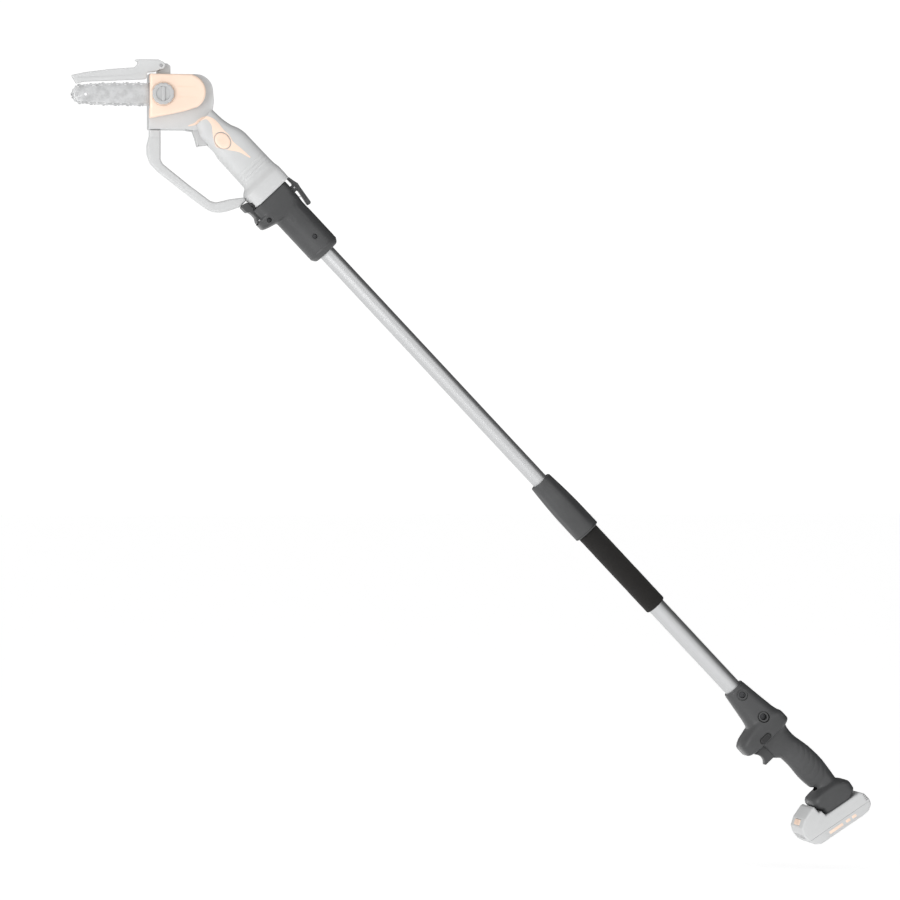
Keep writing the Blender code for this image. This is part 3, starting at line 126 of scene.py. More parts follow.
def rowsThrough(stations, spacing):
    # station rows (along, low, high, half width, squareness, lean) filled in smoothly along the body
    rows = np.array(sorted(stations), float)
    if rows.shape[1] == 5:
        rows = np.c_[rows, np.zeros(len(rows))]
    at = np.unique(np.concatenate([evenly(a, b, spacing) for a, b in zip(rows[:-1, 0], rows[1:, 0])]))
    return np.c_[at, through(rows[:, 0], rows[:, 1:], at)]


def bodyGrid(rows, turns, side=0, relief=None):
    # Each row is a superellipse: across = half width * sin^(2/p), up = half height * cos^(2/p), where p is
    # the row's squareness. relief(along, angle, rows) is how far a point is sunk towards the section's
    # middle.
    along, low, high, half, power, lean = [rows[:, k:k + 1] for k in range(6)]
    angle = np.asarray(turns)[None, :]
    s, c = np.sin(angle), np.cos(angle)
    out = np.sign(s) * np.abs(s) ** (2 / power)
    up = np.sign(c) * np.abs(c) ** (2 / power)
    y = half * out if side == 0 else side * (gap / 2 + out * (half - gap / 2))
    z = (high - low) / 2 * up
    if relief is not None:
        reach = np.sqrt(y * y + z * z) + 1e-6
        keep = 1 - relief(along, angle, rows) / reach
        keepY = keep if side == 0 else np.where(np.abs(y) < 0.2, 1.0, keep)
        y, z = y * keepY, z * keep
    z = z + (high + low) / 2
    return np.stack([along + lean * z, y, z], axis=-1)


def meshFrom(name, points, faces, place):
    mesh = bpy.data.meshes.new(name)
    mesh.from_pydata((place.put(points) if place else points).tolist(), [], faces)
    made = bpy.data.objects.new(name, mesh)
    bpy.context.scene.collection.objects.link(made)
    return made


def gridFaces(rows, cols, closedRows, closedCols, first=0):
    # quads between neighbouring rows and columns of a grid whose vertices are numbered row by row
    r = np.arange(rows if closedRows else rows - 1)[:, None]
    c = np.arange(cols if closedCols else cols - 1)[None, :]
    rn, cn = (r + 1) % rows, (c + 1) % cols
    quads = np.stack([r * cols + c, r * cols + cn, rn * cols + cn, rn * cols + c], axis=-1)
    return (quads.reshape(-1, 4) + first).tolist()


def mended(made, joined=0.00001, collapsed=0.000001):
    # closed shapes only: points nearer than the first distance become one, edges shorter than the second go,
    # and the faces are turned to point outwards
    work = bmesh.new()
    work.from_mesh(made.data)
    bmesh.ops.remove_doubles(work, verts=work.verts, dist=joined)
    bmesh.ops.dissolve_degenerate(work, edges=work.edges, dist=collapsed)
    bmesh.ops.recalc_face_normals(work, faces=work.faces)
    if work.calc_volume(signed=True) < 0:
        bmesh.ops.reverse_faces(work, faces=work.faces)
    work.to_mesh(made.data)
    work.free()
    return made


def outward(made):
    return mended(made, 0.0000005, 0.0000002)


def skin(name, grid, place, closedRows=False):
    # A closed surface from a grid of points: rings closed on themselves, with both ends capped or joined.
    rows, cols = grid.shape[:2]
    faces = gridFaces(rows, cols, closedRows, True)
    if not closedRows:
        faces += [list(range(cols)), list(range((rows - 1) * cols, rows * cols))]
    return outward(meshFrom(name, grid.reshape(-1, 3), faces, place))


def halfBody(name, stations, side, place, spacing=1.2, steps=36, relief=None):
    # one side of a split body, closed by a flat face beside the split
    turns = np.linspace(0, np.pi, steps + 1)
    return skin(name, bodyGrid(rowsThrough(stations, spacing), turns, side, relief), place)


def wholeBody(name, stations, place, spacing=4.0, steps=40, relief=None):
    turns = np.linspace(0, 2 * np.pi, steps, endpoint=False)
    return skin(name, bodyGrid(rowsThrough(stations, spacing), turns, 0, relief), place)


def turned(name, profile, place, axis="along", at=(0.0, 0.0), segments=64, flute=None):
    # A profile of (distance, radius) rows turned about the place's first axis or, with axis "across", about Y
    # through the point at. flute(distance, angle) is added to the radius.
    rows = np.array(profile, float)
    angle = np.linspace(0, 2 * np.pi, segments, endpoint=False)[None, :]
    distance, radius = rows[:, 0:1] + 0 * angle, rows[:, 1:2] + 0 * angle
    if flute is not None:
        radius = np.maximum(radius + flute(distance, angle) * (radius > 0), 0.0)
    side, rise = radius * np.cos(angle), radius * np.sin(angle)
    grid = (np.stack([distance, side, rise + at[1]], -1) if axis == "along"
            else np.stack([at[0] + side, distance, at[1] + rise], -1))
    closed = rows[0, 1] > 0 and rows[-1, 1] > 0
    if closed:
        return skin(name, grid, place, closedRows=True)
    made = meshFrom(name, grid.reshape(-1, 3), gridFaces(len(rows), segments, False, True), place)
    return mended(made)


def rod(name, low, high, radius, place, at=None, segments=24):
    # a plain cylinder along the place's first axis or, where a point is given, across Y through that point
    profile = [(low, 0), (low, radius), (high, radius), (high, 0)]
    return turned(name, profile, place, "along" if at is None else "across", at or (0.0, 0.0), segments)


def softCorners(corners, steps=7):
    # An outline of (x, z, radius) corners, each replaced by a circle arc that touches both of its edges. The
    # arc starts radius * tan(turn / 2) before the corner, or at most 0.48 of the shorter edge.
    c = np.array([tuple(p) + (0.0,) * (3 - len(p)) for p in corners], float)
    p, r = c[:, :2], c[:, 2]
    before, after = np.roll(p, 1, 0) - p, np.roll(p, -1, 0) - p
    lb, la = np.linalg.norm(before, axis=1), np.linalg.norm(after, axis=1)
    before, after = before / lb[:, None], after / la[:, None]
    opening = np.arccos(np.clip((before * after).sum(1), -1, 1))
    reach = np.minimum(r / np.maximum(np.tan(opening / 2), 1e-6), 0.48 * np.minimum(lb, la))
    t = np.linspace(0, 1, steps)[None, :, None]
    a, b = (p + before * reach[:, None])[:, None], (p + after * reach[:, None])[:, None]
    # a conic with the corner as its control point; the weight cos(turn / 2) makes it a circle's arc
    w = np.sin(opening / 2)[:, None, None]
    curve = (((1 - t) ** 2 * a + 2 * w * t * (1 - t) * p[:, None] + t ** 2 * b)
             / ((1 - t) ** 2 + 2 * w * t * (1 - t) + t ** 2))
    rows = [curve[k] if reach[k] > 0.05 else p[k:k + 1] for k in range(len(p))]
    return np.concatenate(rows)


def arc(centre, radius, start, end, steps=24):
    angle = np.radians(np.linspace(start, end, steps + 1))
    return np.c_[centre[0] + radius * np.cos(angle), centre[1] + radius * np.sin(angle)]


def ellipse(centre, wide, high, steps=48):
    angle = np.linspace(0, 2 * np.pi, steps, endpoint=False)
    return np.c_[centre[0] + wide * np.cos(angle), centre[1] + high * np.sin(angle)]


def capsule(x, z, width, height, steps=16):
    r = width / 2
    reach = height / 2 - r
    return np.concatenate([arc((x, z + reach), r, 0, 180, steps), arc((x, z - reach), r, 180, 360, steps)])


def shrunk(outline, distance):
    # Each point moves in along the mitre of its two edges' normals, in small steps. Edges that a step would
    # turn round are drawn together to their middle, so that tight corners close up and never cross over.
    p = np.array(outline, float)
    turn = 1.0 if (p[:, 0] * np.roll(p[:, 1], -1) - np.roll(p[:, 0], -1) * p[:, 1]).sum() > 0 else -1.0
    count = len(p)
    steps = max(1, math.ceil(abs(distance) / 0.5))
    for _ in range(steps):
        d = np.roll(p, -1, 0) - p
        length = np.linalg.norm(d, axis=1)
        live = np.flatnonzero(length > 1e-4)
        n = np.zeros_like(p)
        n[live] = np.c_[-d[live, 1], d[live, 0]] * turn / length[live, None]
        place = np.arange(count)
        after = n[live[np.searchsorted(live, place) % len(live)]]
        before = n[live[(np.searchsorted(live, place) - 1) % len(live)]]
        both = before + after
        moved = p + both * (distance / steps) / np.maximum(0.4, (both * both).sum(1) / 2)[:, None]
        kept = length > 1e-4
        while True:
            order = (place + np.flatnonzero(kept)[-1] + 1) % count
            group = np.r_[0, np.cumsum(kept[order][:-1])]
            total = np.stack([np.bincount(group, moved[order, k]) for k in range(2)], 1)
            p = np.empty_like(moved)
            p[order] = (total / np.bincount(group)[:, None])[group]
            flipped = kept & (((np.roll(p, -1, 0) - p) * d).sum(1) <= 0)
            if not flipped.any():
                break
            kept &= ~flipped
    return p


def plate(name, outline, yLow, yHigh, place, rim=1.0, depth=None, steps=5, lowRim=True, highRim=True):
    # An outline carried across Y, with quarter-round rims: inset = rim * (1 - sin a), and the depth below the
    # face = depth * (1 - cos a), for a from 0 at the face to 90 degrees at the side.
    depth = rim if depth is None else depth
    outline = np.asarray(outline, float)
    a = np.linspace(0, np.pi / 2, steps + 1)
    turn = [(depth * (1 - math.cos(k)), rim * (1 - math.sin(k))) for k in a]
    near = [(yLow + sunk, inset) for sunk, inset in turn] if lowRim else [(yLow, 0.0)]
    far = [(yHigh - sunk, inset) for sunk, inset in turn[::-1]] if highRim else [(yHigh, 0.0)]
    rings = []
    for y, inset in near + far:
        shape = shrunk(outline, inset) if inset else outline
        rings.append(np.c_[shape[:, 0], np.full(len(shape), y), shape[:, 1]])
    return skin(name, np.stack(rings), place)


def prism(name, outline, yLow, yHigh, place):
    # an outline carried straight across Y, with square edges
    return plate(name, outline, yLow, yHigh, place, lowRim=False, highRim=False)


def block(name, low, high, place):
    corners = [(low[0], low[2]), (high[0], low[2]), (high[0], high[2]), (low[0], high[2])]
    return prism(name, corners, low[1], high[1], place)


def join(name, pieces):
    # several meshes in one object, kept as separate closed bodies
    work = bmesh.new()
    for piece in pieces:
        work.from_mesh(piece.data)
        bpy.data.objects.remove(piece)
    mesh = bpy.data.meshes.new(name)
    work.to_mesh(mesh)
    work.free()
    made = bpy.data.objects.new(name, mesh)
    bpy.context.scene.collection.objects.link(made)
    return made


def carve(made, tools, operation="DIFFERENCE"):
    # exact Boolean steps, applied; a tool stays for the next piece unless it is thrown away by clearTools
    for tool in tools:
        step = made.modifiers.new("carve", "BOOLEAN")
        step.operation, step.solver, step.object = operation, "EXACT", tool
        bpy.context.view_layer.update()
        done = bpy.data.meshes.new_from_object(made.evaluated_get(bpy.context.evaluated_depsgraph_get()))
        made.modifiers.clear()
        old, made.data = made.data, done
        bpy.data.meshes.remove(old)
    return made


def clearTools(*tools):
    for tool in tools:
        bpy.data.objects.remove(tool)


def cut(made, tools, operation="DIFFERENCE"):
    # a Boolean step with tools that no other piece needs
    carve(made, tools, operation)
    clearTools(*tools)


def finished(made, finish, body, replaces=None, sharp=32, wear=True):
    # shading, material, and how the piece belongs to the model
    mesh = made.data
    mesh.shade_smooth()
    mesh.set_sharp_from_angle(angle=math.radians(sharp))
    mesh.materials.clear()
    mesh.materials.append(finish)
    if wear:
        markEdges(mesh)
    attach(made, body)
    if replaces:
        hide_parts(*([replaces] if isinstance(replaces, str) else replaces))
    return made


def markEdges(mesh):
    # "rubbed" is how far each point stands out from its neighbours: the mean over its edges of the sine of
    # the angle between the edge and the surface, which is 0 on a flat face and near 0.4 on a square edge.
    n = len(mesh.vertices)
    co, normal = np.empty(n * 3), np.empty(n * 3)
    mesh.vertices.foreach_get("co", co)
    mesh.vertices.foreach_get("normal", normal)
    pairs = np.empty(len(mesh.edges) * 2, int)
    mesh.edges.foreach_get("vertices", pairs)
    co, normal, pairs = co.reshape(-1, 3), normal.reshape(-1, 3), pairs.reshape(-1, 2)
    total, count = np.zeros(n), np.zeros(n)
    for a, b in ((pairs[:, 0], pairs[:, 1]), (pairs[:, 1], pairs[:, 0])):
        edge = co[a] - co[b]
        length = np.linalg.norm(edge, axis=1) + 1e-9
        np.add.at(total, a, (edge * normal[a]).sum(1) / length)
        np.add.at(count, a, 1)
    rubbed = np.clip(total / np.maximum(count, 1), 0, 1)
    mesh.attributes.new("rubbed", "FLOAT", "POINT").data.foreach_set("value", rubbed)


# Finishes.
class Wire:
    # one output of a shader node, so that sums on it are written as plain arithmetic
    def __init__(self, finish, socket):
        self.finish, self.socket = finish, socket

    def maths(self, operation, *others):
        return self.finish.node("ShaderNodeMath", {"operation": operation}, [self, *others])

    def __add__(self, other):
        return self.maths("ADD", other)

    def __sub__(self, other):
        return self.maths("SUBTRACT", other)

    def __mul__(self, other):
        return self.maths("MULTIPLY", other)

    def __truediv__(self, other):
        return self.maths("DIVIDE", other)

    def __rsub__(self, other):
        return self.finish.node("ShaderNodeMath", {"operation": "SUBTRACT"}, [other, self])

    __radd__, __rmul__ = __add__, __mul__

    def clipped(self, low=0.0, high=1.0):
        # 0 below low, 1 above high, and a smooth S between them
        return self.finish.node("ShaderNodeMapRange", {"interpolation_type": "SMOOTHSTEP"},
                                {"Value": self, "From Min": low, "From Max": high})


class Finish:
    # a material under construction; node() makes every node in it
    def __init__(self, name, **constants):
        self.material = bpy.data.materials.new(name)
        self.material.use_nodes = True
        self.tree = self.material.node_tree
        self.shader = self.tree.nodes["Principled BSDF"]
        for socket, value in constants.items():
            self.shader.inputs[socket.replace("_", " ")].default_value = value
        self.place = self.node("ShaderNodeTexCoord", output="Object")

    def node(self, kind, settings=None, inputs=None, output=0):
        made = self.tree.nodes.new(kind)
        for key, value in (settings or {}).items():
            if key == "stops":
                ramp = made.color_ramp
                while len(ramp.elements) < len(value):
                    ramp.elements.new(0.5)
                for element, (position, colour) in zip(ramp.elements, value):
                    element.position, element.color = position, (*colour, 1.0)
            else:
                setattr(made, key, value)
        pairs = inputs.items() if isinstance(inputs, dict) else enumerate(inputs or [])
        for key, value in pairs:
            if isinstance(value, Wire):
                self.tree.links.new(value.socket, made.inputs[key])
            elif isinstance(value, tuple) and len(value) == 3 and made.inputs[key].type == "RGBA":
                made.inputs[key].default_value = (*value, 1.0)
            else:
                made.inputs[key].default_value = value
        return Wire(self, made.outputs[output])

    def noise(self, scale, detail=3.0, roughness=0.55, vector=None):
        return self.node("ShaderNodeTexNoise", None, {"Vector": vector or self.place, "Scale": scale,
                                                      "Detail": detail, "Roughness": roughness})

    def cells(self, scale, feature="F1", vector=None):
        return self.node("ShaderNodeTexVoronoi", {"feature": feature},
                         {"Vector": vector or self.place, "Scale": scale}, output="Distance")

    def turnedTo(self, angle, stretch, centre=(0.0, 0.0, 0.0)):
        # object coordinates about a centre, turned about Y so that the first axis lies along a part, and then
        # stretched along each axis
        moved = self.node("ShaderNodeVectorMath", {"operation": "SUBTRACT"}, [self.place, centre])
        spun = self.node("ShaderNodeMapping", {"vector_type": "POINT"},
                         {"Vector": moved, "Rotation": (0.0, angle, 0.0)})
        return self.node("ShaderNodeVectorMath", {"operation": "MULTIPLY"}, [spun, stretch])

    def blended(self, share, first, second):
        made = self.tree.nodes.new("ShaderNodeMix")
        made.data_type = "RGBA"
        for key, value in ((0, share), (6, first), (7, second)):
            if isinstance(value, Wire):
                self.tree.links.new(value.socket, made.inputs[key])
            else:
                made.inputs[key].default_value = (*value, 1.0) if isinstance(value, tuple) else value
        return Wire(self, made.outputs[2])

    def rubbed(self):
        return self.node("ShaderNodeAttribute", {"attribute_name": "rubbed"}, output="Fac")

    def drive(self, **wires):
        for socket, wire in wires.items():
            self.tree.links.new(wire.socket, self.shader.inputs[socket.replace("_", " ")])

    def bumps(self, *layers):
        # (height, distance in millimetres) pairs, each added to the normal of the one before
        normal = None
        for height, distance in layers:
            inputs = {"Height": height, "Distance": distance * 0.001, "Strength": 1.0}
            if normal is not None:
                inputs["Normal"] = normal
            normal = self.node("ShaderNodeBump", None, inputs)
        self.drive(Normal=normal)


poleAngle = math.atan2(alongPole[2], alongPole[0])
mouldLook = {"grainSize": 1500, "grainDepth": 0.035, "cloudSize": 14, "scuffSize": 60}


def mouldedPlastic(name, colour, roughness, spread=0.12, edge=0.35, grain=1.0, worn=True, coat=0.0):
    # Spark-eroded mould grain, faint flow clouds, fine scuffs and corners that handling has polished paler.
    look = mouldLook
    made = Finish(name, Metallic=0.0, Coat_Weight=coat, Coat_Roughness=0.25)
    fine = made.noise(look["grainSize"], 2.0, 0.6)
    pits = made.cells(look["grainSize"] * 0.55)
    clouds = made.noise(look["cloudSize"], 4.0, 0.6)
    scuffs = made.noise(look["scuffSize"], 6.0, 0.75,
                        made.turnedTo(poleAngle + 0.5, (1.0, 1.0, 9.0))).clipped(0.56, 0.72)
    dark = tuple(c * (1 - spread) for c in colour)
    light = tuple(min(1.0, c * (1 + spread)) for c in colour)
    base = made.blended((clouds + fine * 0.35 - 0.17).clipped(0.3, 0.7), dark, light)
    rough = roughness - 0.05 + clouds * 0.1 + pits * 0.06 - scuffs * 0.05
    if worn:
        polish = (made.rubbed() * (0.55 + clouds)).clipped(0.05, 0.4)
        pale = tuple(c + (0.62 - c) * 0.28 * edge if c < 0.5 else c * 0.96 for c in colour)
        base = made.blended(polish * edge + scuffs * 0.06, base, pale)
        rough = rough - polish * 0.12
    made.drive(Base_Color=base, Roughness=rough)
    made.bumps((fine + pits * 0.6, look["grainDepth"] * grain), (clouds, 0.12))
    return made.material


charcoal = mouldedPlastic("charcoal_plastic", (0.057, 0.058, 0.0595), 0.38)
darkPlastic = mouldedPlastic("black_plastic", (0.022, 0.022, 0.023), 0.42, edge=0.2)
innerDark = mouldedPlastic("inner_black_plastic", (0.024, 0.024, 0.025), 0.5, worn=False)
paleGrey = mouldedPlastic("pale_grey_plastic", (0.595, 0.6, 0.602), 0.5, spread=0.025, edge=0.12)
greyTrim = mouldedPlastic("mid_grey_plastic", (0.5, 0.503, 0.505), 0.48, spread=0.03, edge=0.12)
palePeach = mouldedPlastic("pale_peach_plastic", (0.93, 0.72, 0.585), 0.44, spread=0.02, edge=0.1, grain=0.6,
                           coat=0.15)


def foamFinish():
    # closed-cell foam: crushed cells of two sizes, with shallow lumps where hands have pressed it
    made = Finish("black_foam", Metallic=0.0, Sheen_Weight=0.08, Sheen_Roughness=0.6,
                  Sheen_Tint=(0.5, 0.48, 0.46, 1.0))
    small, large = made.cells(2600), made.cells(900)
    lumps = made.noise(45, 4.0, 0.6)
    base = made.blended((small * 0.7 + lumps * 0.6).clipped(0.25, 0.9), (0.0026, 0.0022, 0.002),
                        (0.0085, 0.0073, 0.0065))
    made.drive(Base_Color=base, Roughness=0.86 + lumps * 0.1)
    made.bumps((small, 0.12), (large, 0.16), (lumps, 0.5))
    return made.material


def tubeFinish():
    # drawn aluminium, bead-blasted and anodised: fine draw lines along the tube and a frosted grain
    made = Finish("anodised_tube", Metallic=1.0)
    lines = made.noise(1.0, 3.0, 0.7, made.turnedTo(poleAngle, (3.0, 500.0, 500.0)))
    frost = made.noise(900, 1.0, 0.5)
    tone = made.noise(6.0, 3.0, 0.6, made.turnedTo(poleAngle, (0.6, 14.0, 14.0)))
    base = made.blended((tone * 0.5 + lines * 0.5).clipped(0.25, 0.75), (0.56, 0.565, 0.572),
                        (0.63, 0.635, 0.64))
    made.drive(Base_Color=base, Roughness=0.34 + lines * 0.08 + tone * 0.06 + frost * 0.04)
    made.bumps((lines, 0.002), (frost, 0.001))
    return made.material


def metalFinish(name, colour, roughness, grind, depth=0.008):
    # ground or turned metal: fine lines along X and a little tarnish
    made = Finish(name, Metallic=1.0)
    lines = made.noise(1.0, 2.0, 0.6, made.turnedTo(0.0, (grind * 0.02, grind, grind)))
    tarnish = made.noise(70, 5.0, 0.65)
    dark = tuple(c * 0.72 for c in colour)
    base = made.blended(tarnish.clipped(0.35, 0.75), colour, dark)
    made.drive(Base_Color=base, Roughness=roughness + lines * 0.1 + tarnish * 0.08)
    made.bumps((lines, depth), (made.noise(1800, 2.0), depth))
    return made.material


foamLook, tubeLook = foamFinish(), tubeFinish()
screwLook = metalFinish("screw_steel", (0.085, 0.086, 0.09), 0.36, grind=2200)
pinLook = metalFinish("pin_steel", (0.55, 0.55, 0.56), 0.26, grind=1800)
motorLook = metalFinish("motor_steel", (0.5, 0.5, 0.51), 0.3, grind=1200)
brassLook = metalFinish("gear_brass", (0.78, 0.6, 0.27), 0.28, grind=1500)
barLook = metalFinish("bar_steel", (0.66, 0.665, 0.67), 0.4, grind=1400, depth=0.004)
chainLook = metalFinish("chain_steel", (0.66, 0.665, 0.67), 0.3, grind=1600)


def cableFinish():
    made = Finish("black_cable", Metallic=0.0)
    grain = made.noise(1400, 2.0)
    marks = made.noise(120, 4.0)
    made.drive(Base_Color=made.blended(marks.clipped(0.4, 0.7), (0.014, 0.014, 0.015), (0.03, 0.03, 0.031)),
               Roughness=0.45 + grain * 0.1)
    made.bumps((grain, 0.02))
    return made.material


def boardFinish():
    # solder mask over copper tracks, with tinned pads where a grid of dots stands
    made = Finish("circuit_board", Metallic=0.0, Coat_Weight=0.3)
    tracks = made.node("ShaderNodeTexBrick", None, {"Vector": made.turnedTo(0.4, (1.0, 1.0, 1.0)),
                                                    "Scale": 260.0, "Mortar Size": 0.03}, output="Fac")
    pads = 1 - made.cells(330).clipped(0.16, 0.22)
    green = made.blended(tracks, (0.012, 0.085, 0.03), (0.03, 0.16, 0.055))
    made.drive(Base_Color=made.blended(pads, green, (0.72, 0.7, 0.62)), Roughness=0.42 - pads * 0.15,
               Metallic=pads * 0.9)
    made.bumps((tracks, 0.03), (pads, 0.05))
    return made.material


def cellFinish():
    # shrink sleeve: glossy film with faint wrinkles
    made = Finish("cell_sleeve", Metallic=0.0, Coat_Weight=0.4, Coat_Roughness=0.1)
    folds = made.noise(1.0, 4.0, 0.6, made.turnedTo(0.0, (90.0, 700.0, 90.0)))
    marks = made.noise(40, 3.0)
    made.drive(Base_Color=made.blended(marks.clipped(0.35, 0.65), (0.03, 0.11, 0.26), (0.045, 0.15, 0.33)),
               Roughness=0.25 + folds * 0.15)
    made.bumps((folds, 0.05))
    return made.material


cableLook, boardLook, cellLook = cableFinish(), boardFinish(), cellFinish()

insideLooks = {
    "rear_trigger_spring": pinLook, "rear_switch": innerDark, "foot_terminals": brassLook,
    "guide_bush": innerDark, "collet_ring": innerDark, "collar_base": innerDark, "dock_tongue": innerDark,
    "top_latch_pin": pinLook, "top_latch_spring": pinLook, "hook_lever_pin": pinLook,
    "saw_terminals": brassLook, "saw_switch": innerDark, "bar_bolt": screwLook, "drive_sprocket": motorLook,
    "sprocket_shaft": pinLook, "drive_gear": brassLook, "motor_pinion": pinLook, "motor": motorLook,
    "motor_board": boardLook, "chain_guard_pin": pinLook, "battery_board": boardLook,
    **{f"cell_{k + 1}": cellLook for k in range(5)},
}
for node, finish in insideLooks.items():
    slots = frame["nodes"][node].data.materials
    for k in range(len(slots)):
        slots[k] = finish
    if not len(slots):
        slots.append(finish)
print("finishes made")


# Camera, floor and light.
stageLook = {"camera": (-1.7936, -6.9948, 0.4872), "lens": 180.0, "turn": -10.0, "floorDrop": 0.05,
             "floorGlow": 0.62}


def setStage():
    camera = bpy.data.objects.new("camera", bpy.data.cameras.new("camera"))
    bpy.context.scene.collection.objects.link(camera)
    camera.location = stageLook["camera"]
    camera.rotation_euler = (math.pi / 2, 0.0, math.radians(stageLook["turn"]))
    camera.data.lens, camera.data.sensor_width = stageLook["lens"], 36.0
    camera.data.clip_end = 60.0
    bpy.context.scene.camera = camera
    bpy.context.scene.view_settings.view_transform = "Standard"
    size = 40.0
    low = cadLow[2] - stageLook["floorDrop"]
    floor = meshFrom("floor", np.array([(-size, -size, low), (size, -size, low), (size, size, low),
                                        (-size, size, low)]), [(0, 1, 2, 3)], None)
    look = Finish("floor_white", Roughness=0.9, Specular_IOR_Level=0.1, Emission_Color=(1.0, 1.0, 1.0, 1.0),
                  Emission_Strength=stageLook["floorGlow"])
    look.drive(Base_Color=look.blended(look.noise(3.0), (0.93, 0.93, 0.93), (0.95, 0.95, 0.95)))
    floor.data.materials.append(look.material)


def setLight():
    # A soft white room: bright in front, low and to the left, and shaded behind and above to the right. The
    # camera sees the same white everywhere.
    world = bpy.data.worlds.new("soft_room")
    bpy.context.scene.world = world
    world.use_nodes = True
    room = Finish.__new__(Finish)
    room.tree = world.node_tree
    background = room.tree.nodes["Background"]
    seen = room.node("ShaderNodeTexCoord", output="Generated")

    def towards(x, y, z):
        n = np.array([x, y, z]) / np.linalg.norm([x, y, z])
        return room.node("ShaderNodeVectorMath", {"operation": "DOT_PRODUCT"}, [seen, tuple(n)],
                         output="Value")

    lit = towards(-0.62, -0.65, -0.1).clipped(-0.35, 0.95)
    shade = towards(0.62, 0.35, 0.62).clipped(0.0, 0.8)
    top = towards(-0.2, -0.5, 0.85).clipped(0.55, 1.0)
    strength = (0.43 + lit * 0.56 + top * 0.22) * (1 - shade * 0.82)
    direct = room.node("ShaderNodeLightPath", output="Is Camera Ray")
    total = strength * (1 - direct) + direct * 1.05
    room.tree.links.new(total.socket, background.inputs["Strength"])
    background.inputs["Color"].default_value = (1.0, 1.0, 1.0, 1.0)

    def panel(name, position, target, size, power):
        lamp = bpy.data.lights.new(name, "AREA")
        lamp.shape, lamp.size, lamp.energy = "DISK", size, power
        holder = bpy.data.objects.new(name, lamp)
        bpy.context.scene.collection.objects.link(holder)
        holder.location = position
        holder.rotation_euler = (Vector(target) - Vector(position)).to_track_quat("-Z", "Y").to_euler()

    panel("key_light", (-3.4, -3.2, 0.4), (-0.5, 0.0, 0.5), 1.6, 42.0)
    panel("fill_light", (1.6, -3.6, 2.6), (-0.5, 0.0, 0.5), 2.2, 14.0)


setStage()
setLight()


# Tubes, foam, collar and cable.
tubeShape = {"wall": 0.9, "rim": 0.25}


def makeTube(node, body, holes=()):
    low, high = pole.span(node)
    radius, wall, rim = high[2], tubeShape["wall"], tubeShape["rim"]
    front, rear = low[0], high[0]
    bore = radius - wall
    run = evenly(front + rim, rear - rim, 12.0)
    profile = ([(front, bore + rim), (front, radius - rim)] + [(x, radius) for x in run]
               + [(rear, radius - rim), (rear, bore + rim)] + [(x, bore) for x in run[::-1]])
    made = turned(node + "_drawn", profile, pole, segments=96)
    for x, z in holes:
        cut(made, [rod("hole", -radius - 4, -5, 2.4, pole, (x, z))])
    return finished(made, tubeLook, body, node, sharp=40)


sleeveRear = pole.span("adapter_shell_left")[1][0]
sleeveScrew = (sleeveRear - 32.0, 0.0)
handleFront = pole.span("handle_shell_left")[0][0]
neckScrews = [(handleFront + 15.0, 1.0), (handleFront + 63.0, 1.0)]
makeTube("lower_tube", "handle", neckScrews)
makeTube("upper_tube", "upper_pole", [sleeveScrew])

foamShape = {"endRadius": 2.2, "lump": 0.12}


def makeFoam():
    low, high = pole.span("foam_grip")
    radius, bore = high[2] - foamShape["lump"], pole.span("lower_tube")[1][2] + gap
    r = foamShape["endRadius"]
    a = np.linspace(0, np.pi / 2, 7)
    start = np.c_[low[0] + r * (1 - np.sin(a[::-1])), radius - r * (1 - np.cos(a[::-1]))]
    end = np.c_[high[0] - r * (1 - np.sin(a)), radius - r * (1 - np.cos(a))]
    run = evenly(low[0] + r, high[0] - r, 2.0)[1:-1]
    profile = np.concatenate([[(low[0], bore)], start, np.c_[run, np.full(len(run), radius)], end,
                              [(high[0], bore)]])

    def lumps(x, angle):
        # slow swells along the sleeve and round it, the size that hands leave in soft foam
        swell = np.sin(x * 0.11) * np.cos(3 * angle + x * 0.03) + 0.6 * np.sin(x * 0.31 + 2 * angle)
        return foamShape["lump"] * 0.6 * swell
    made = turned("foam_sleeve", profile, pole, segments=96, flute=lumps)
    finished(made, foamLook, "handle", "foam_grip", wear=False)


makeFoam()

collarLook = {"lobes": 6, "lobeDepth": 0.992, "lip": 8.0, "notch": (9.0, 2.4), "nose": 1.6}


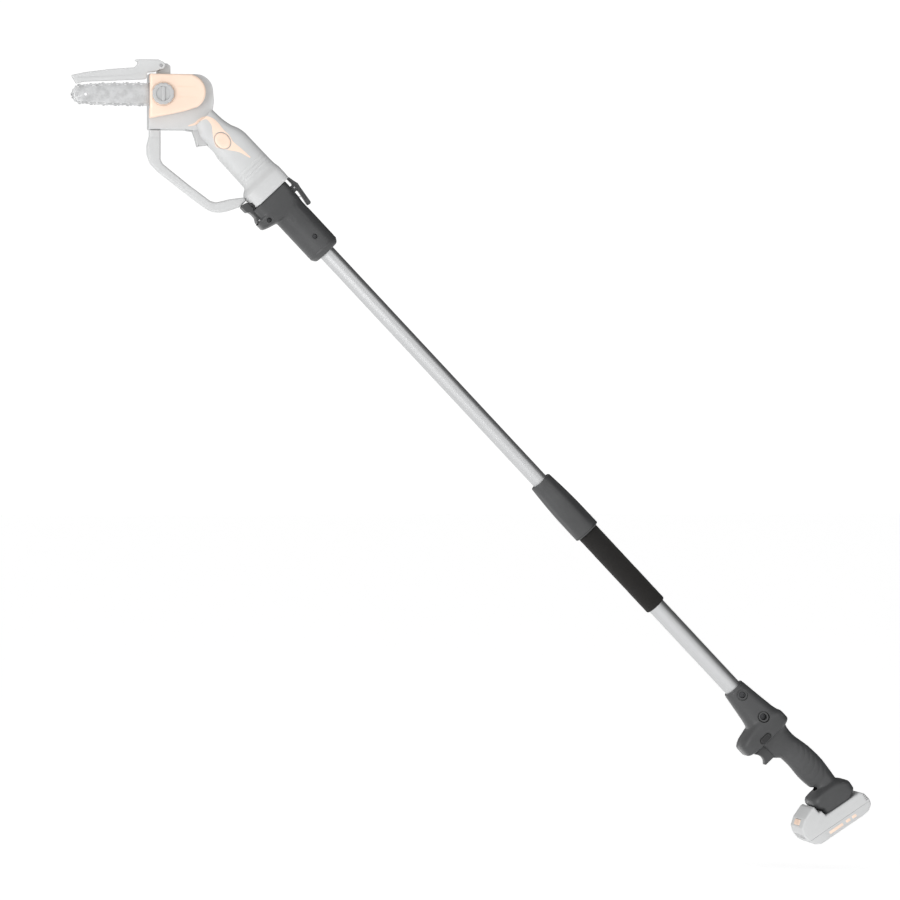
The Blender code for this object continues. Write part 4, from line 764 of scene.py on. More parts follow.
def makeCollar():
    low, high = pole.span("lock_collar")
    front, rear, rearR = low[0], high[0], high[2] - 0.05
    frontR = rearR - 3.8
    bore = pole.span("upper_tube")[1][2] + 0.5
    cavity = frontR - 1.9
    rise = [[frontR], [frontR + 1.6], [frontR + 2.9], [frontR + 3.6], [rearR]]
    shape = through([0, 0.2, 0.42, 0.64, 1.0], rise, np.linspace(0, 1, 60))[:, 0]
    r = collarLook["nose"]
    x = np.linspace(front + r, rear - 3.4, 60)
    a = np.linspace(0, np.pi / 2, 6)[:0:-1]
    nose = np.c_[front + r * (1 - np.sin(a)), shape[0] - r * (1 - np.cos(a))]
    tail = [(rear - 3.2, rearR - 0.9), (rear - 2.4, rearR - 0.9), (rear - 2.1, rearR), (rear - 0.7, rearR),
            (rear, rearR - 0.8)]
    lip = front + collarLook["lip"]
    profile = np.concatenate([[(front, bore)], nose, np.c_[x, shape], tail,
                              [(rear, cavity), (lip, cavity), (lip, bore)]])

    def lobes(distance, angle):
        # flats between soft lobes: the radius drops by depth * ((1 - cos(lobes * angle)) / 2) ^ 1.5, and the
        # drop fades out at both ends
        fade = np.clip((distance - front - 3) / 16, 0, 1) * np.clip((rear - 8 - distance) / 14, 0, 1)
        outside = np.clip((profile[:, 1:2] - cavity - 1.0) / 1.5, 0, 1)
        wave = (1 - np.cos(collarLook["lobes"] * (angle + 0.35))) / 2
        return -collarLook["lobeDepth"] * fade * outside * wave ** 1.5
    made = turned("lock_collar_moulded", profile, pole, segments=144, flute=lobes)
    width, deep = collarLook["notch"]
    cut(made, [block("notch", (front - 2, -width / 2, frontR - deep - 3),
                     (front + deep, width / 2, frontR + 9), pole)])
    finished(made, charcoal, "collar", "lock_collar", sharp=38)


makeCollar()


def makeCable():
    # A curly lead inside the tubes: a round wire of radius w whose middle runs on a helix of radius r - w,
    # and at both ends the helix narrows in to the tube's axis.
    low, high = pole.span("power_cable")
    w = 2.3
    r = high[2] - w - 0.1
    start, end = low[0] + w, high[0] - w
    turns = int((end - start) / (2 * w * 2.7))
    t = np.linspace(0, 1, turns * 22 + 1)
    angle = 2 * np.pi * turns * t
    grow = np.clip(np.minimum(t, 1 - t) / 0.01, 0, 1) ** 0.5
    centre = np.c_[start + (end - start) * t, r * grow * np.cos(angle), r * grow * np.sin(angle)]
    ahead = np.gradient(centre, axis=0)
    ahead /= np.linalg.norm(ahead, axis=1)[:, None]
    out = np.c_[np.zeros(len(t)), np.cos(angle), np.sin(angle)]
    out -= ahead * (out * ahead).sum(1)[:, None]
    out /= np.linalg.norm(out, axis=1)[:, None]
    side = np.cross(ahead, out)
    ring = np.linspace(0, 2 * np.pi, 10, endpoint=False)
    grid = (centre[:, None] + w * (out[:, None] * np.cos(ring)[None, :, None]
                                   + side[:, None] * np.sin(ring)[None, :, None]))
    made = skin("curly_lead", grid, pole)
    finished(made, cableLook, "handle", "power_cable", wear=False)
    travel = joints["pole_slide"]["range_m"][1] * 1000
    anchor = pole.put([[high[0], 0, 0]])[0]
    tuple(anchor)
    (high[0] - low[0] - travel) / (high[0] - low[0])
    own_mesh(made)


makeCable()
print("pole made")


# Screws: pan heads with a hexagon socket.
def makeScrew(node, at, headY, length, place, body, headR=3.6, shankR=1.9, side=-1):
    inward = -side
    a = np.linspace(0, np.pi / 2, 5)
    dome = [(headY + inward * 0.9 * (1 - math.cos(k)), headR * (0.72 + 0.28 * math.sin(k))) for k in a]
    profile = np.array([(headY, 0.0)] + dome + [
        (headY + inward * 2.4, headR), (headY + inward * 2.4, shankR), (headY + inward * length, shankR),
        (headY + inward * length, 0.0)])
    made = turned(node + "_fine", profile, place, "across", at, 40)
    socketR = headR * 0.56
    hexagon = arc(at, socketR, 0, 300, 5)
    cut(made, [prism("socket", hexagon, *sorted((headY - inward * 2, headY + inward * 1.7)), place)])
    finished(made, screwLook, body, node, wear=False)


def screwTools(at, headY, length, place, headR=3.6, shankR=1.9, side=-1):
    # the room for a screw's head, open to the outside, and the way for its shank
    inward = -side
    spans = [sorted((headY - inward * 16, headY + inward * 2.7)),
             sorted((headY + inward * 2, headY + inward * (length + 0.6)))]
    return [rod("recess", a, b, r + gap, place, at, 48) for (a, b), r in zip(spans, (headR, shankR))]


# The handle: two shells from the tube's neck to the battery foot.
handleLook = {
    "wall": 2.8, "grip": 17.5, "flange": 31.0, "base": 35.0, "slant": 10.5, "tubeRadius": 14.25,
    "shellScrews": [(-66.0, 20.5), (22.0, 12.0), (84.0, 19.0)], "shellSeats": (28.5, 16.0, 33.0),
    "neckSeats": (17.75, 21.75), "trigger": (-48.0, -22.5, 8.0), "lock": (-58.5, -21.0, 9.0, 20.0),
    "grooves": 9, "grooveDepth": 0.42,
}


def footRow(depth, low, high, half, power):
    # a row in a plane parallel to the foot's face: it leans by the face's slant
    slant = math.radians(handleLook["slant"])
    x = footFace + depth / math.cos(slant)
    rise = -depth * math.sin(slant)
    return (x, low * math.cos(slant) + rise, high * math.cos(slant) + rise, half, power, math.tan(slant))


def handleRows():
    grip, flange, base, neck = (handleLook[k] for k in ("grip", "flange", "base", "tubeRadius"))
    neck += 3.2
    f = handleFront
    return [
        (f, -neck + 0.8, neck - 0.2, neck - 0.5, 2.2, 0),
        (f + 1.2, -neck - 0.1, neck + 0.5, neck + 0.2, 2.2, 0),
        (f + 4, -neck - 0.6, neck + 0.9, neck + 0.6, 2.3, 0),
        (-112, -22.6, 22.4, 21.0, 2.5, 0), (-88, -27.0, 25.6, 24.3, 2.7, 0),
        (-84.5, -29.2, 26.0, 25.4, 3.0, 0),
        (-81.5, -39.0, 26.6, 27.4, 3.4, 0), (-77.5, -51.6, 27.4, flange - 1.2, 4.2, 0),
        (-71, -59.3, 30.0, flange, 5.0, 0), (-68, -59.7, 30.3, flange, 5.2, 0),
        (-57, -59.7, 30.2, flange, 5.2, 0), (-55, -58.9, 29.6, flange - 0.3, 5.0, 0),
        (-51.6, -50.8, 25.8, flange - 2.2, 4.2, 0), (-51.0, -46.0, 24.4, 27.0, 4.0, 0),
        (-50.2, -31.5, 22.2, 21.6, 3.2, 0), (-48.6, -31.0, 21.8, 20.4, 3.0, 0),
        (-40, -30.0, 19.8, grip + 0.9, 2.6, 0), (-30, -29.6, 19.2, grip + 0.2, 2.5, 0),
        (-21, -29.2, 19.9, grip, 2.5, 0), (-19.4, -27.6, 20.2, grip, 2.5, 0),
        (-11, -20.6, 22.0, grip, 2.4, 0), (6, -19.6, 25.0, grip, 2.3, 0), (30, -20.9, 26.4, grip, 2.3, 0),
        (54, -18.6, 24.4, grip, 2.4, 0),
        footRow(-39.5, -21.6, 15.4, grip + 1.8, 2.6), footRow(-36.5, -24.6, 15.6, grip + 3.4, 2.7),
        footRow(-32.5, -35.5, 18.5, base - 5.5, 3.4), footRow(-30, -40.6, 21.5, base - 2.4, 4.2),
        footRow(-25, -43.2, 26.5, base - 0.5, 5.0), footRow(-22, -43.2, 28.3, base, 5.6),
        footRow(-16.5, -42.2, 28.6, base, 6.0), footRow(-9.7, -36.4, 28.4, base, 6.0),
        footRow(-8.6, -35.2, 27.8, base, 6.0), footRow(-1.2, -34.4, 19.6, base - 0.5, 6.0),
        footRow(0, -33.6, 18.4, base - 1.6, 6.0),
    ]


def gripRelief(along, angle, rows):
    # Curved finger grooves: a wave across the grip's side, cos(2 pi (along + bow) / pitch), kept to a band on
    # each side; fine ribs behind the flange; a shallow seam round the flange's rear edge.
    s = np.abs(np.sin(angle))
    z = -np.cos(angle)
    phase = (along + 16 * z ** 2 - 9 * z) / 11.5
    band = (np.clip((along + 20) / 14, 0, 1) * np.clip((64 - along) / 14, 0, 1)
            * np.clip((s - 0.42) / 0.3, 0, 1))
    waves = band * handleLook["grooveDepth"] * np.clip(np.cos(2 * np.pi * phase) * 1.6 - 0.5, 0, 1)
    ribs = (np.clip((along + 46.5) / 1.5, 0, 1) * np.clip((-35.5 - along) / 1.5, 0, 1)
            * np.clip((s - 0.7) / 0.15, 0, 1) * 0.3 * np.clip(np.cos(2 * np.pi * along / 2.4), 0, 1))
    front = 0.7 * np.clip(1 - np.abs(along - handleFront - 3.2) / 0.5, 0, 1)
    return waves + ribs + front


def coreRows(rows, wall, ends):
    # the same rows, smaller by a wall, between two distances
    return [(x, low + wall, high - wall, half - wall, power)
            for x, low, high, half, power, _ in rows if ends[0] <= x <= ends[1]]


def railOutline(grow):
    # (across, out) points of the T section that the battery's and the adapter's tongues share
    neck, wide = 18.0 + grow, 22.0 + grow
    step, top = -4.0 - 0.5 + grow, -11.0 - grow
    return [(-neck, 3.0), (-neck, step), (-wide, step), (-wide, top), (wide, top), (wide, step), (neck, step),
            (neck, 3.0)]


def railPrism(name, grow, low, high, place):
    shape = np.array(railOutline(grow))
    return skin(name, np.stack([np.c_[shape[:, 1], shape[:, 0], np.full(8, z)] for z in (low, high)]), place)


def pocketTools(place):
    return [railPrism("pocket", 0.5, -60.0, 15.5, place),
            block("contactRoom", (-16.5, -16, 2), (-11, 16, 14), place)]


def ringTool(at, y, inner, outer, place, depth=0.8):
    # a shallow round groove cut from the -Y side
    return turned("ring", [(y - 12, inner), (y - 12, outer), (y + depth, outer), (y + depth, inner)], place,
                  "across", at, 64)


def makeHandle():
    rows = handleRows()
    wall = handleLook["wall"]
    tubeRear = pole.span("lower_tube")[1][0]
    coreEnds = wholeBody("core", [(tubeRear + 2.5, -52.0, 24.5, 27.2, 4.5), (-57, -52, 24.5, 27.2, 4.5),
                                  (-54, -28, 18.5, 18, 3.0), (-48, -27.6, 18.0, 16.6, 2.9)]
                         + coreRows(rows, wall, (-41, 60))
                         + [(76, -20.0, 14.0, 18, 3.0), (84, -20.0, 12.0, 21, 4.0)], pole, 3.0, 48)
    bore = turned("bore", [(handleFront - 5, 0), (handleFront - 5, 14.55), (tubeRear + gap, 14.55),
                           (tubeRear + gap, 9), (tubeRear + 6, 9), (tubeRear + 6, 0)], pole, segments=96)
    hollow = rod("hollow", handleFront + 28, handleFront + 56, 18.2, pole, segments=48)
    x0, x1, half = handleLook["trigger"]
    triggerRoom = block("triggerRoom", (x0 - 0.5, -half - 0.5, -60), (x1 + 0.5, half + 0.5, -15), pole)
    bx, bz, bw, bh = handleLook["lock"]
    lockRoom = prism("lockRoom", capsule(bx, bz, bw + 1, bh + 1), -62, -11, pole)
    pocket = pocketTools(foot)
    shared = [coreEnds, bore, hollow, triggerRoom, *pocket]
    seats = handleLook["shellSeats"]
    for side, word in ((-1, "left"), (1, "right")):
        made = halfBody(f"handle_half_{word}", rows, side, pole, 1.1, 44, gripRelief)
        bosses = [rod("boss", side * gap / 2, side * (seat - 1), 4.6, pole, at)
                  for seat, at in zip(seats, handleLook["shellScrews"])]
        carve(made, [coreEnds])
        carve(made, bosses, "UNION")
        tools = shared[1:]
        private = []
        if side < 0:
            private.append(lockRoom)
            private.append(prism("lockRing", capsule(bx, bz, bw + 4, bh + 4), -62,
                                 -handleLook["flange"] + 0.9, pole))
            for at, seat in zip(neckScrews, handleLook["neckSeats"]):
                private += screwTools(at, -seat, seat - 13.55, pole, 5.0)
                private.append(ringTool(at, -seat + 0.6, 7.4, 9.4, pole, 0.0))
        for at, seat in zip(handleLook["shellScrews"], seats):
            private += screwTools(at, seat, seat - 2.0 if side > 0 else seat + 8, pole, side=1)
        carve(made, tools + private)
        clearTools(*bosses, *[tool for tool in private if tool is not lockRoom])
        finished(made, charcoal, "handle", f"handle_shell_{word}", sharp=34)
    clearTools(lockRoom, *shared)
    for k, (at, seat) in enumerate(zip(neckScrews, handleLook["neckSeats"])):
        makeScrew(f"neck_screw_{k + 1}", at, -seat, seat - 13.55, pole, "handle", 5.0)
    for k, (at, seat) in enumerate(zip(handleLook["shellScrews"], seats)):
        makeScrew(f"shell_screw_{k + 1}", at, seat, seat + 8 - 1, pole, "handle", side=1)


makeHandle()


def makeHandleControls():
    x0, x1, half = handleLook["trigger"]
    face = [(x0, -48.6, 1.2), (x0 + 6.5, -43.6, 14), (x0 + 12.5, -41.8, 16), (x0 + 18.5, -43.0, 12),
            (x1, -48.8, 1.4), (x1, -22.6, 0.3), (x0, -22.6, 0.3)]
    made = plate("trigger_blade", softCorners(face, 9), -half, half, pole, 1.6, steps=6)
    sx = x0 + 9
    cut(made, [block("springRoom", (sx - 3.6, -3.6, -33.9), (sx + 3.6, 3.6, -17), pole)])
    finished(made, charcoal, "rear_trigger_body", "rear_trigger")
    bx, bz, bw, bh = handleLook["lock"]
    front = -handleLook["flange"] - 0.8
    button = plate("lock_off_slide", capsule(bx, bz, bw, bh), front, front + 13, pole, 1.3, steps=6,
                   highRim=False)
    cut(button, [block("rib", (bx - 2.6, front - 2, z - 0.5), (bx + 2.6, front + 0.6, z + 0.5), pole)
                 for z in bz + 2.6 * np.arange(-2, 3)])
    cut(button, [block("lockLip", (bx - 2.6, front + 11, bz - 13), (bx + 2.6, front + 14, bz + 13), pole)],
        "UNION")
    finished(button, darkPlastic, "lock_off_body", "lock_off_button")


makeHandleControls()
print("handle made")


# The adapter head: two shells round the upper tube, with a lobe for the docking face and its latches.
adapterLook = {"wall": 2.8, "sleeve": 26.7, "width": 29.0, "latchPivot": (17.8, 31.0),
               "hookPivot": (17.3, -45.6), "latchHalf": 8.0, "reliefFloor": 23.3, "screw": (-1199.9, -35.2)}


def adapterRows():
    r, wide, s, d = adapterLook["sleeve"], adapterLook["width"], sleeveRear, dockX
    return [
        (s, -r + 5.4, r - 5.4, r - 5.4, 2.1), (s - 0.8, -r + 4.2, r - 4.2, r - 4.2, 2.1),
        (s - 6.2, -r + 0.5, r - 0.5, r - 0.5, 2.1), (s - 7.4, -r, r, r, 2.1), (s - 50, -r, r, r, 2.1),
        (s - 83, -r, r, r, 2.1), (s - 86, -r - 1.2, r, r + 0.1, 2.2), (s - 90, -41.0, r, wide - 1.4, 2.7),
        (s - 94, -50.2, r, wide - 0.6, 3.4), (s - 96, -51.0, r, wide - 0.3, 3.8),
        (d + 20.5, -51.0, r, wide, 4.2),
        (d + 19.4, -49.6, r, wide, 4.4), (d + 17, -43.4, r, wide, 4.6), (d + 15.6, -42.8, r, wide, 4.7),
        (d + 1.4, -42.6, r, wide, 5.0), (d, -41.4, r - 1.1, wide - 1.1, 5.0),
    ]


def adapterRelief(along, angle, rows):
    # two shallow lines pressed into the side, joined at their dock end, and a shadow line before the end ring
    low, high = rows[:, 1:2], rows[:, 2:3]
    z = (high - low) / 2 * np.cos(angle) + (high + low) / 2
    near = np.clip((np.sin(angle) - 0.5) / 0.2, 0, 1)

    def line(at, width, x0, x1):
        inside = np.clip((along - x0) / 0.8, 0, 1) * np.clip((x1 - along) / 0.8, 0, 1)
        return inside * np.clip(1.4 - np.abs(z - at) / width, 0, 1)
    s = sleeveRear
    upper, lower = line(8.5, 0.9, s - 96, s - 56), line(-5.5, 0.9, s - 96, s - 70)
    end = (np.clip(1.4 - np.abs(along - (s - 96)) / 0.8, 0, 1) * np.clip((z + 6.4) / 0.8, 0, 1)
           * np.clip((9.4 - z) / 0.8, 0, 1))
    ring = 0.45 * np.clip(1.2 - np.abs(along - (s - 10.5)) / 0.45, 0, 1)
    return 0.55 * near * np.maximum(np.maximum(upper, lower), end) + ring


def makeAdapter():
    wall, wide = adapterLook["wall"], adapterLook["width"]
    tubeFront = pole.span("upper_tube")[0][0]
    px, pz = adapterLook["latchPivot"]
    half = adapterLook["latchHalf"]
    core = wholeBody("core", [(tubeFront + 2, -21, 21, 21, 2.6), (sleeveRear - 93, -22, 21.5, 21.5, 2.8),
                              (dockX + 5, -30, 21.5, wide - wall, 4.0)], pole, 4.0, 48)
    hollow = rod("hollow", sleeveRear - 69, sleeveRear - 12, 23.9, pole, segments=48)
    bore = rod("bore", tubeFront - gap, sleeveRear + 5, 13.3, pole, segments=96)
    leverRoom = block("leverRoom", (dockX - 5, -14, -60), (dockX + 21.8, 14, -39.5), pole)
    seat = block("seat", (dockX - 5, -15, -29), (dockX + 8, 15, 12), pole)
    floor = adapterLook["reliefFloor"]
    relief = block("relief", (px + 9, -half - 0.8, floor), (px + 38, half + 0.8, 40), dock)
    pins = [rod("pinBore", -y, y, 1.8, dock, at)
            for y, at in ((30, (px, pz)), (17.5, adapterLook["hookPivot"]))]
    sideScrew = adapterLook["screw"]
    for side, word in ((-1, "left"), (1, "right")):
        made = halfBody(f"adapter_half_{word}", adapterRows(), side, pole, 1.1, 44, adapterRelief)
        carve(made, [core, hollow, leverRoom, seat, relief])
        ear = plate("ear", softCorners([(px - 5, 20), (px + 6, 20), (px + 6, 29, 1), (px + 3.4, 34.6, 2.4),
                                        (px - 3.0, 34.6, 2.4), (px - 5, 30, 1)]),
                    *sorted((side * (half + gap), side * (half + gap + 3))), dock, 0.5)
        carve(made, [ear], "UNION")
        recess, way = screwTools(sideScrew, -25.0, 35.0, pole)
        private = [ear, recess, way]
        tools = [bore, *pins, way]
        if side < 0:
            sleeve = screwTools(sleeveScrew, -25.1, 13.5, pole)
            ring = ringTool(sleeveScrew, -26.2, 4.6, 5.4, pole, 0.0)
            tools += [recess, *sleeve, ring]
            private += [*sleeve, ring]
        carve(made, tools)
        clearTools(*private)
        finished(made, charcoal, "upper_pole", f"adapter_shell_{word}", sharp=34)
    clearTools(core, hollow, bore, leverRoom, seat, relief, *pins)
    makeScrew("adapter_screw_1", sleeveScrew, -25.1, 13.5, pole, "upper_pole")
    makeScrew("adapter_screw_2", sideScrew, -25.0, 35.0, pole, "upper_pole")


makeAdapter()


def makeLatches():
    px, pz = adapterLook["latchPivot"]
    half = adapterLook["latchHalf"]
    tip = -0.2
    arm = softCorners([(tip, 36.4, 0.8), (px - 8, 38.4, 2), (px - 1, 40.4, 2.4), (px + 4.5, 39.2, 2),
                       (px + 34.5, 35.2, 1.2), (px + 36, 32.4, 1.2), (px + 35, 28.7, 0.8), (px + 24, 30.6, 6),
                       (px + 9, 33.2, 3), (px + 3.4, 31.0, 1.5), (px + 2, 28.6, 1.5), (px - 2, 28.6, 1.5),
                       (px - 3.4, 31.0, 1.5), (px - 6, 33.6, 2), (tip, 33.2, 0.5)], 6)
    made = plate("top_latch_arm", arm, -half, half, dock, 0.7)
    grooves = [prism("groove", [(x, 37.4), (x + 1.1, 37.25), (x + 1.1, 45), (x, 45)], -half + 1.6, half - 1.6,
                     dock) for x in px + np.array([18, 21, 24, 27])]
    slot = softCorners([(px + 8, 34.6, 0.6), (px + 26, 32.4, 0.6), (px + 26, 34.2, 0.6), (px + 8, 36.6, 0.6)])
    cut(made, [*grooves, rod("pinBore", -20, 20, 1.8, dock, (px, pz)),
               prism("slotCut", slot, -20, -half + 1.2, dock)])
    finished(made, charcoal, "latch", "top_latch")
    hx, hz = adapterLook["hookPivot"]
    lever = softCorners([(-16, -39.6, 2.4), (-8, -38.6, 6), (-1, -37.4, 1), (-0.6, -40.6, 1.4),
                         (hx - 4, -41, 2), (hx + 3.4, -42.6, 2), (hx + 3.4, -48, 2),
                         (hx + 1, -50.6, 1.5), (hx - 3, -48.6, 2),
                         (hx - 6.5, -46.4, 3), (hx - 14, -46.2, 4), (-2.5, -47.6, 2), (-5, -51, 2.4),
                         (-17, -51.4, 3.4), (-17.6, -46, 3)], 7)
    hook = plate("hook_lever_moulded", lever, -13, 13, dock, 1.3, steps=6)
    thumbs = [block("thumb", (x, -9.5, -56), (x + 1, 9.5, -50.7), dock) for x in -15.4 + 2.2 * np.arange(5)]
    cut(hook, [rod("pinBore", -20, 20, 1.8, dock, (hx, hz)), *thumbs])
    finished(hook, charcoal, "hook", "hook_lever")


makeLatches()


def pressed(node, joint, place, anchor, travel):
    # a spring gets its own copy of its mesh; the share it would keep when pressed is worked out but not
    # applied
    low, high = place.span(node)
    height = high[2] - low[2]
    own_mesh(frame["nodes"][node], joint, axis=tuple(acrossPole),
              anchor=tuple(place.put([[0, 0, anchor]])[0]), keep=(height - travel) / height)


pressed("rear_trigger_spring", "rear_trigger_squeeze", pole, pole.span("rear_trigger_spring")[1][2],
        joints["rear_trigger_squeeze"]["range_m"][1] * 1000)
latchPress = 3.2
pressed("top_latch_spring", "top_latch_tilt", dock, dock.span("top_latch_spring")[0][2], latchPress)
print("adapter made")


# The saw: two shells with the motor housing, the cutting gear, its guards and the hand loop.
sawLook = {"wall": 2.8, "grip": 19.0, "footHalf": 33.0, "leftFace": -8.5, "rightFace": 31.0, "chainY": -13.2,
           "guardPivot": (-2.0, 45.0), "sprocket": (36.0, 0.0), "lockCentre": (-112.5, -2.5), "ribs": 4}


def sawRows(grow=0.0):
    grip, wide = sawLook["grip"], sawLook["footHalf"]
    rows = [
        (-0.6, -35.0, 33.6, wide - 1.4, 5.0), (-2, -36.4, 35.0, wide, 5.0), (-20, -36.4, 35.2, wide, 5.0),
        (-22.5, -36.2, 35.2, wide - 0.4, 4.8), (-29, -31.6, 35.0, wide - 6.0, 4.0),
        (-33, -26.6, 34.9, grip + 3.4, 3.2), (-36, -25.6, 34.8, grip + 1.6, 3.0),
        (-60, -25.4, 34.6, grip, 2.6), (-96, -25.0, 34.2, grip, 2.6),
        (-108, -22.5, 32.0, grip, 2.6), (-122, -23.0, 26.0, grip, 2.8), (-138, -24.0, 22.4, grip, 3.0),
        (-150, -19.0, 21.4, grip - 0.4, 3.0), (-158, -16.0, 21.0, grip - 1.0, 3.0),
    ]
    return [(x, low - grow, high + grow, half + grow, power) for x, low, high, half, power in rows]


def sawRelief(along, angle, rows):
    # ribs moulded across the rear of the grip, and finger waves along its lower side
    s = np.abs(np.sin(angle))
    side = np.clip((s - 0.35) / 0.25, 0, 1)
    first, pitch, count = -57.0, 6.4, sawLook["ribs"]
    phase = (along - first) / pitch
    last = first + pitch * (count - 1)
    inside = np.clip((along - first + 1.5) / 1.5, 0, 1) * np.clip((last + 2.4 - along) / 1.5, 0, 1)
    ribs = 0.9 * side * inside * np.clip(np.cos(2 * np.pi * phase) * 1.8 - 0.7, 0, 1)
    palm = np.clip((-64 - along) / 6, 0, 1) * np.clip((along + 104) / 6, 0, 1)
    lower = np.clip((-np.cos(angle) - 0.55) / 0.2, 0, 1)
    grip = 0.4 * palm * lower * np.clip(np.cos(2 * np.pi * along / 5.2) * 1.5 - 0.4, 0, 1)
    seam = 0.55 * np.clip(1.3 - np.abs(along + 30.5) / 0.6, 0, 1)
    return ribs + grip + seam


def headOutline(grow=0.0):
    shape = softCorners([(-19.5, 33, 1.5), (53, 33, 8), *arc((54, 6), 27, 78, 0, 18), (82.4, -10, 8),
                         (80, -24, 14), (71, -43, 14), (54, -56, 12), (36, -53.4, 8), (-19.5, -53.4, 1.5)], 6)
    return shrunk(shape, -grow) if grow else shape


def housing(name, side, grow=0.0):
    split = side * gap / 2
    face = (sawLook["leftFace"] if side < 0 else sawLook["rightFace"]) + side * grow
    low, high = sorted((split, face))
    rim = 1.4 if side < 0 else 6.0
    return plate(name, headOutline(grow), low, high, head, rim, rim, 7, lowRim=side < 0, highRim=side > 0)


def lugOutline():
    gx, gz = sawLook["guardPivot"]
    return softCorners([(gx - 6, 28), (gx + 16, 28), (gx + 16, 45, 3), (gx + 11, 49, 3),
                        *arc((gx, gz), 5, 60, 190, 12)], 5)


def makeSawShells():
    wall = sawLook["wall"]
    left, right = sawLook["leftFace"], sawLook["rightFace"]
    chamber = plate("chamber", shrunk(headOutline(), wall), left + wall, right - wall, head, 5.0,
                    lowRim=False)
    core = wholeBody("core", [(-23, -20, 29, 15, 3.0), (-60, -21.6, 31, 16.2, 2.6),
                              (-104, -19, 29, 16.2, 2.6), (-140, -18, 18, 16.2, 2.8),
                              (-160, -10, 16, 6, 2.8)], dock, 4.0, 48)
    trigger = block("triggerRoom", (-164.5, -8, -60), (-123.1, 8, -4.5), dock)
    pocket = pocketTools(dock)
    lockRoom = prism("lockRoom", ellipse(sawLook["lockCentre"], 14.5, 11.5), -38, -12, dock)
    bores = [rod("bore", a, b, r, head, at, 32)
             for a, b, r, at in ((-20, -0.5, 4.3, (0, 0)), (-20, 2, 4.5, sawLook["sprocket"]),
                                 (-40, 40, 2.3, sawLook["guardPivot"]))]
    lugEnd = -gap / 2 - 0.02
    for side, word in ((-1, "left"), (1, "right")):
        made = halfBody(f"saw_half_{word}", sawRows(), side, dock, 1.2, 40, sawRelief)
        shell = housing("housing", side)
        carve(made, [shell], "UNION")
        carve(made, [chamber, core, trigger, *pocket])
        private = [shell]
        if side < 0:
            lug = plate("lug", lugOutline(), left, lugEnd, head, 1.2, highRim=False)
            boss = rod("boss", left + 1, lugEnd, 9, head, (0, 0), 40)
            carve(made, [lug, boss], "UNION")
            carve(made, [lockRoom, *bores])
            private += [lug, boss]
        else:
            vents = [prism("vent", softCorners([(40, z, 1.2), (66, z, 1.2), (66, z + 3, 1.2),
                                                (40, z + 3, 1.2)]), right - 4.5, right + 4, head)
                     for z in 4.4 + 6.5 * np.arange(-2, 3)]
            carve(made, vents)
            private += vents
        clearTools(*private)
        finished(made, paleGrey, "saw", f"saw_shell_{word}", sharp=34)
    clearTools(chamber, core, trigger, lockRoom, *pocket, *bores)


makeSawShells()


def makeSawTrim():
    # the peach inlay that runs over the trigger and down the grip: a prism cut to a skin 0.5 mm deep over the
    # left shell, so that it follows the shell's curves
    def toHead(x, z):
        return tuple((dock.put([[x, 0, z]])[0] * 1000 - head.origin)[[0, 2]])
    line = np.array([(42, -48), (52, -45), (60, -38.5), (68, -35.5), (76, -39), (83, -47), (87, -57),
                     toHead(-112.5, -2.5), toHead(-98, 1.5), toHead(-84, 7.0), toHead(-64, 11.2)])
    half = np.array([0.8, 1.8, 2.2, 2.4, 4.0, 6.0, 9.0, 13.5, 7.5, 3.6, 0.9])
    ahead = np.gradient(line, axis=0)
    ahead /= np.linalg.norm(ahead, axis=1)[:, None]
    side = np.c_[-ahead[:, 1], ahead[:, 0]] * half[:, None]
    station, t = np.arange(len(line)), np.linspace(0, len(line) - 1, 60)
    outline = np.concatenate([through(station, line + side, t), through(station, line - side, t)[::-1]])
    made = prism("saw_trim_inlay", outline, -24, -2, head)
    outer, inner = [halfBody("skin", sawRows(grow), -1, dock, 1.2, 40) for grow in (0.5, -0.2)]
    for body, grow in ((outer, 0.5), (inner, -0.2)):
        cut(body, [housing("skinHead", -1, grow)], "UNION")
    cut(made, [outer], "INTERSECT")
    cut(made, [inner, prism("hole", ellipse(sawLook["lockCentre"], 15.2, 12.2), -38, 0, dock)])
    finished(made, palePeach, "saw")


makeSawTrim()


def makeLoop():
    outer = [(-1, -54), (-19, -54, 2), (-19, -64, 8), (-22.6, -79, 10), (-22.6, -93, 12), (-17.5, -107, 14),
             (-5, -120, 16), (47, -160, 20), (72, -178, 12), (82, -182, 10), (93, -182.6, 14),
             (106, -180, 10), (123.4, -173.7, 4), (134.1, -163.2, 2), (129.8, -158.6, 2)]
    inner = [(117.1, -160.2, 6), (103, -162.5, 10), (93, -165.2, 10), (86, -166.8, 6), (77, -164.7, 6),
             (68, -158, 8), (46, -142, 16), (18, -120, 16), (2.5, -107.5, 7), (-1, -101, 5)]
    made = plate("hand_loop", softCorners(outer + inner, 7), -8, 8, head, 3.6, 5.0, 8)
    cut(made, [block("groove", (-30, y, -67.7), (10, y + 4.8, -66.5), head) for y in (-12, 7.2)])
    finished(made, paleGrey, "saw", "loop_guard", sharp=38)


makeLoop()


def makeSawControls():
    trigger = softCorners([(-164, -14, 2), (-156, -25, 8), (-144, -30.4, 14), (-131.6, -37.2, 2.4),
                           (-130.4, -33, 3), (-123.6, -24, 6), (-123.6, -11, 1), (-164, -11, 1)], 8)
    made = plate("saw_trigger_blade", trigger, -7.5, 7.5, dock, 2.2, steps=7)
    finished(made, greyTrim, "saw_trigger_body", "saw_trigger")
    cx, cz = sawLook["lockCentre"]
    button = plate("saw_lock_off_pad", ellipse((cx, cz), 14, 11, 64), -20.2, -13.7, dock, 5.0, 1.8, 8,
                   highRim=False)
    dots = [(cx + 3.6 * (k - 1) + 1.8 * (j % 2), cz + 3.2 * (j - 1)) for j in range(3) for k in range(3)]
    cut(button, [rod("dot", -24, -19.5, 0.8, dock, at, 12) for at in dots])
    finished(button, palePeach, "saw_lock_body", "saw_lock_off")


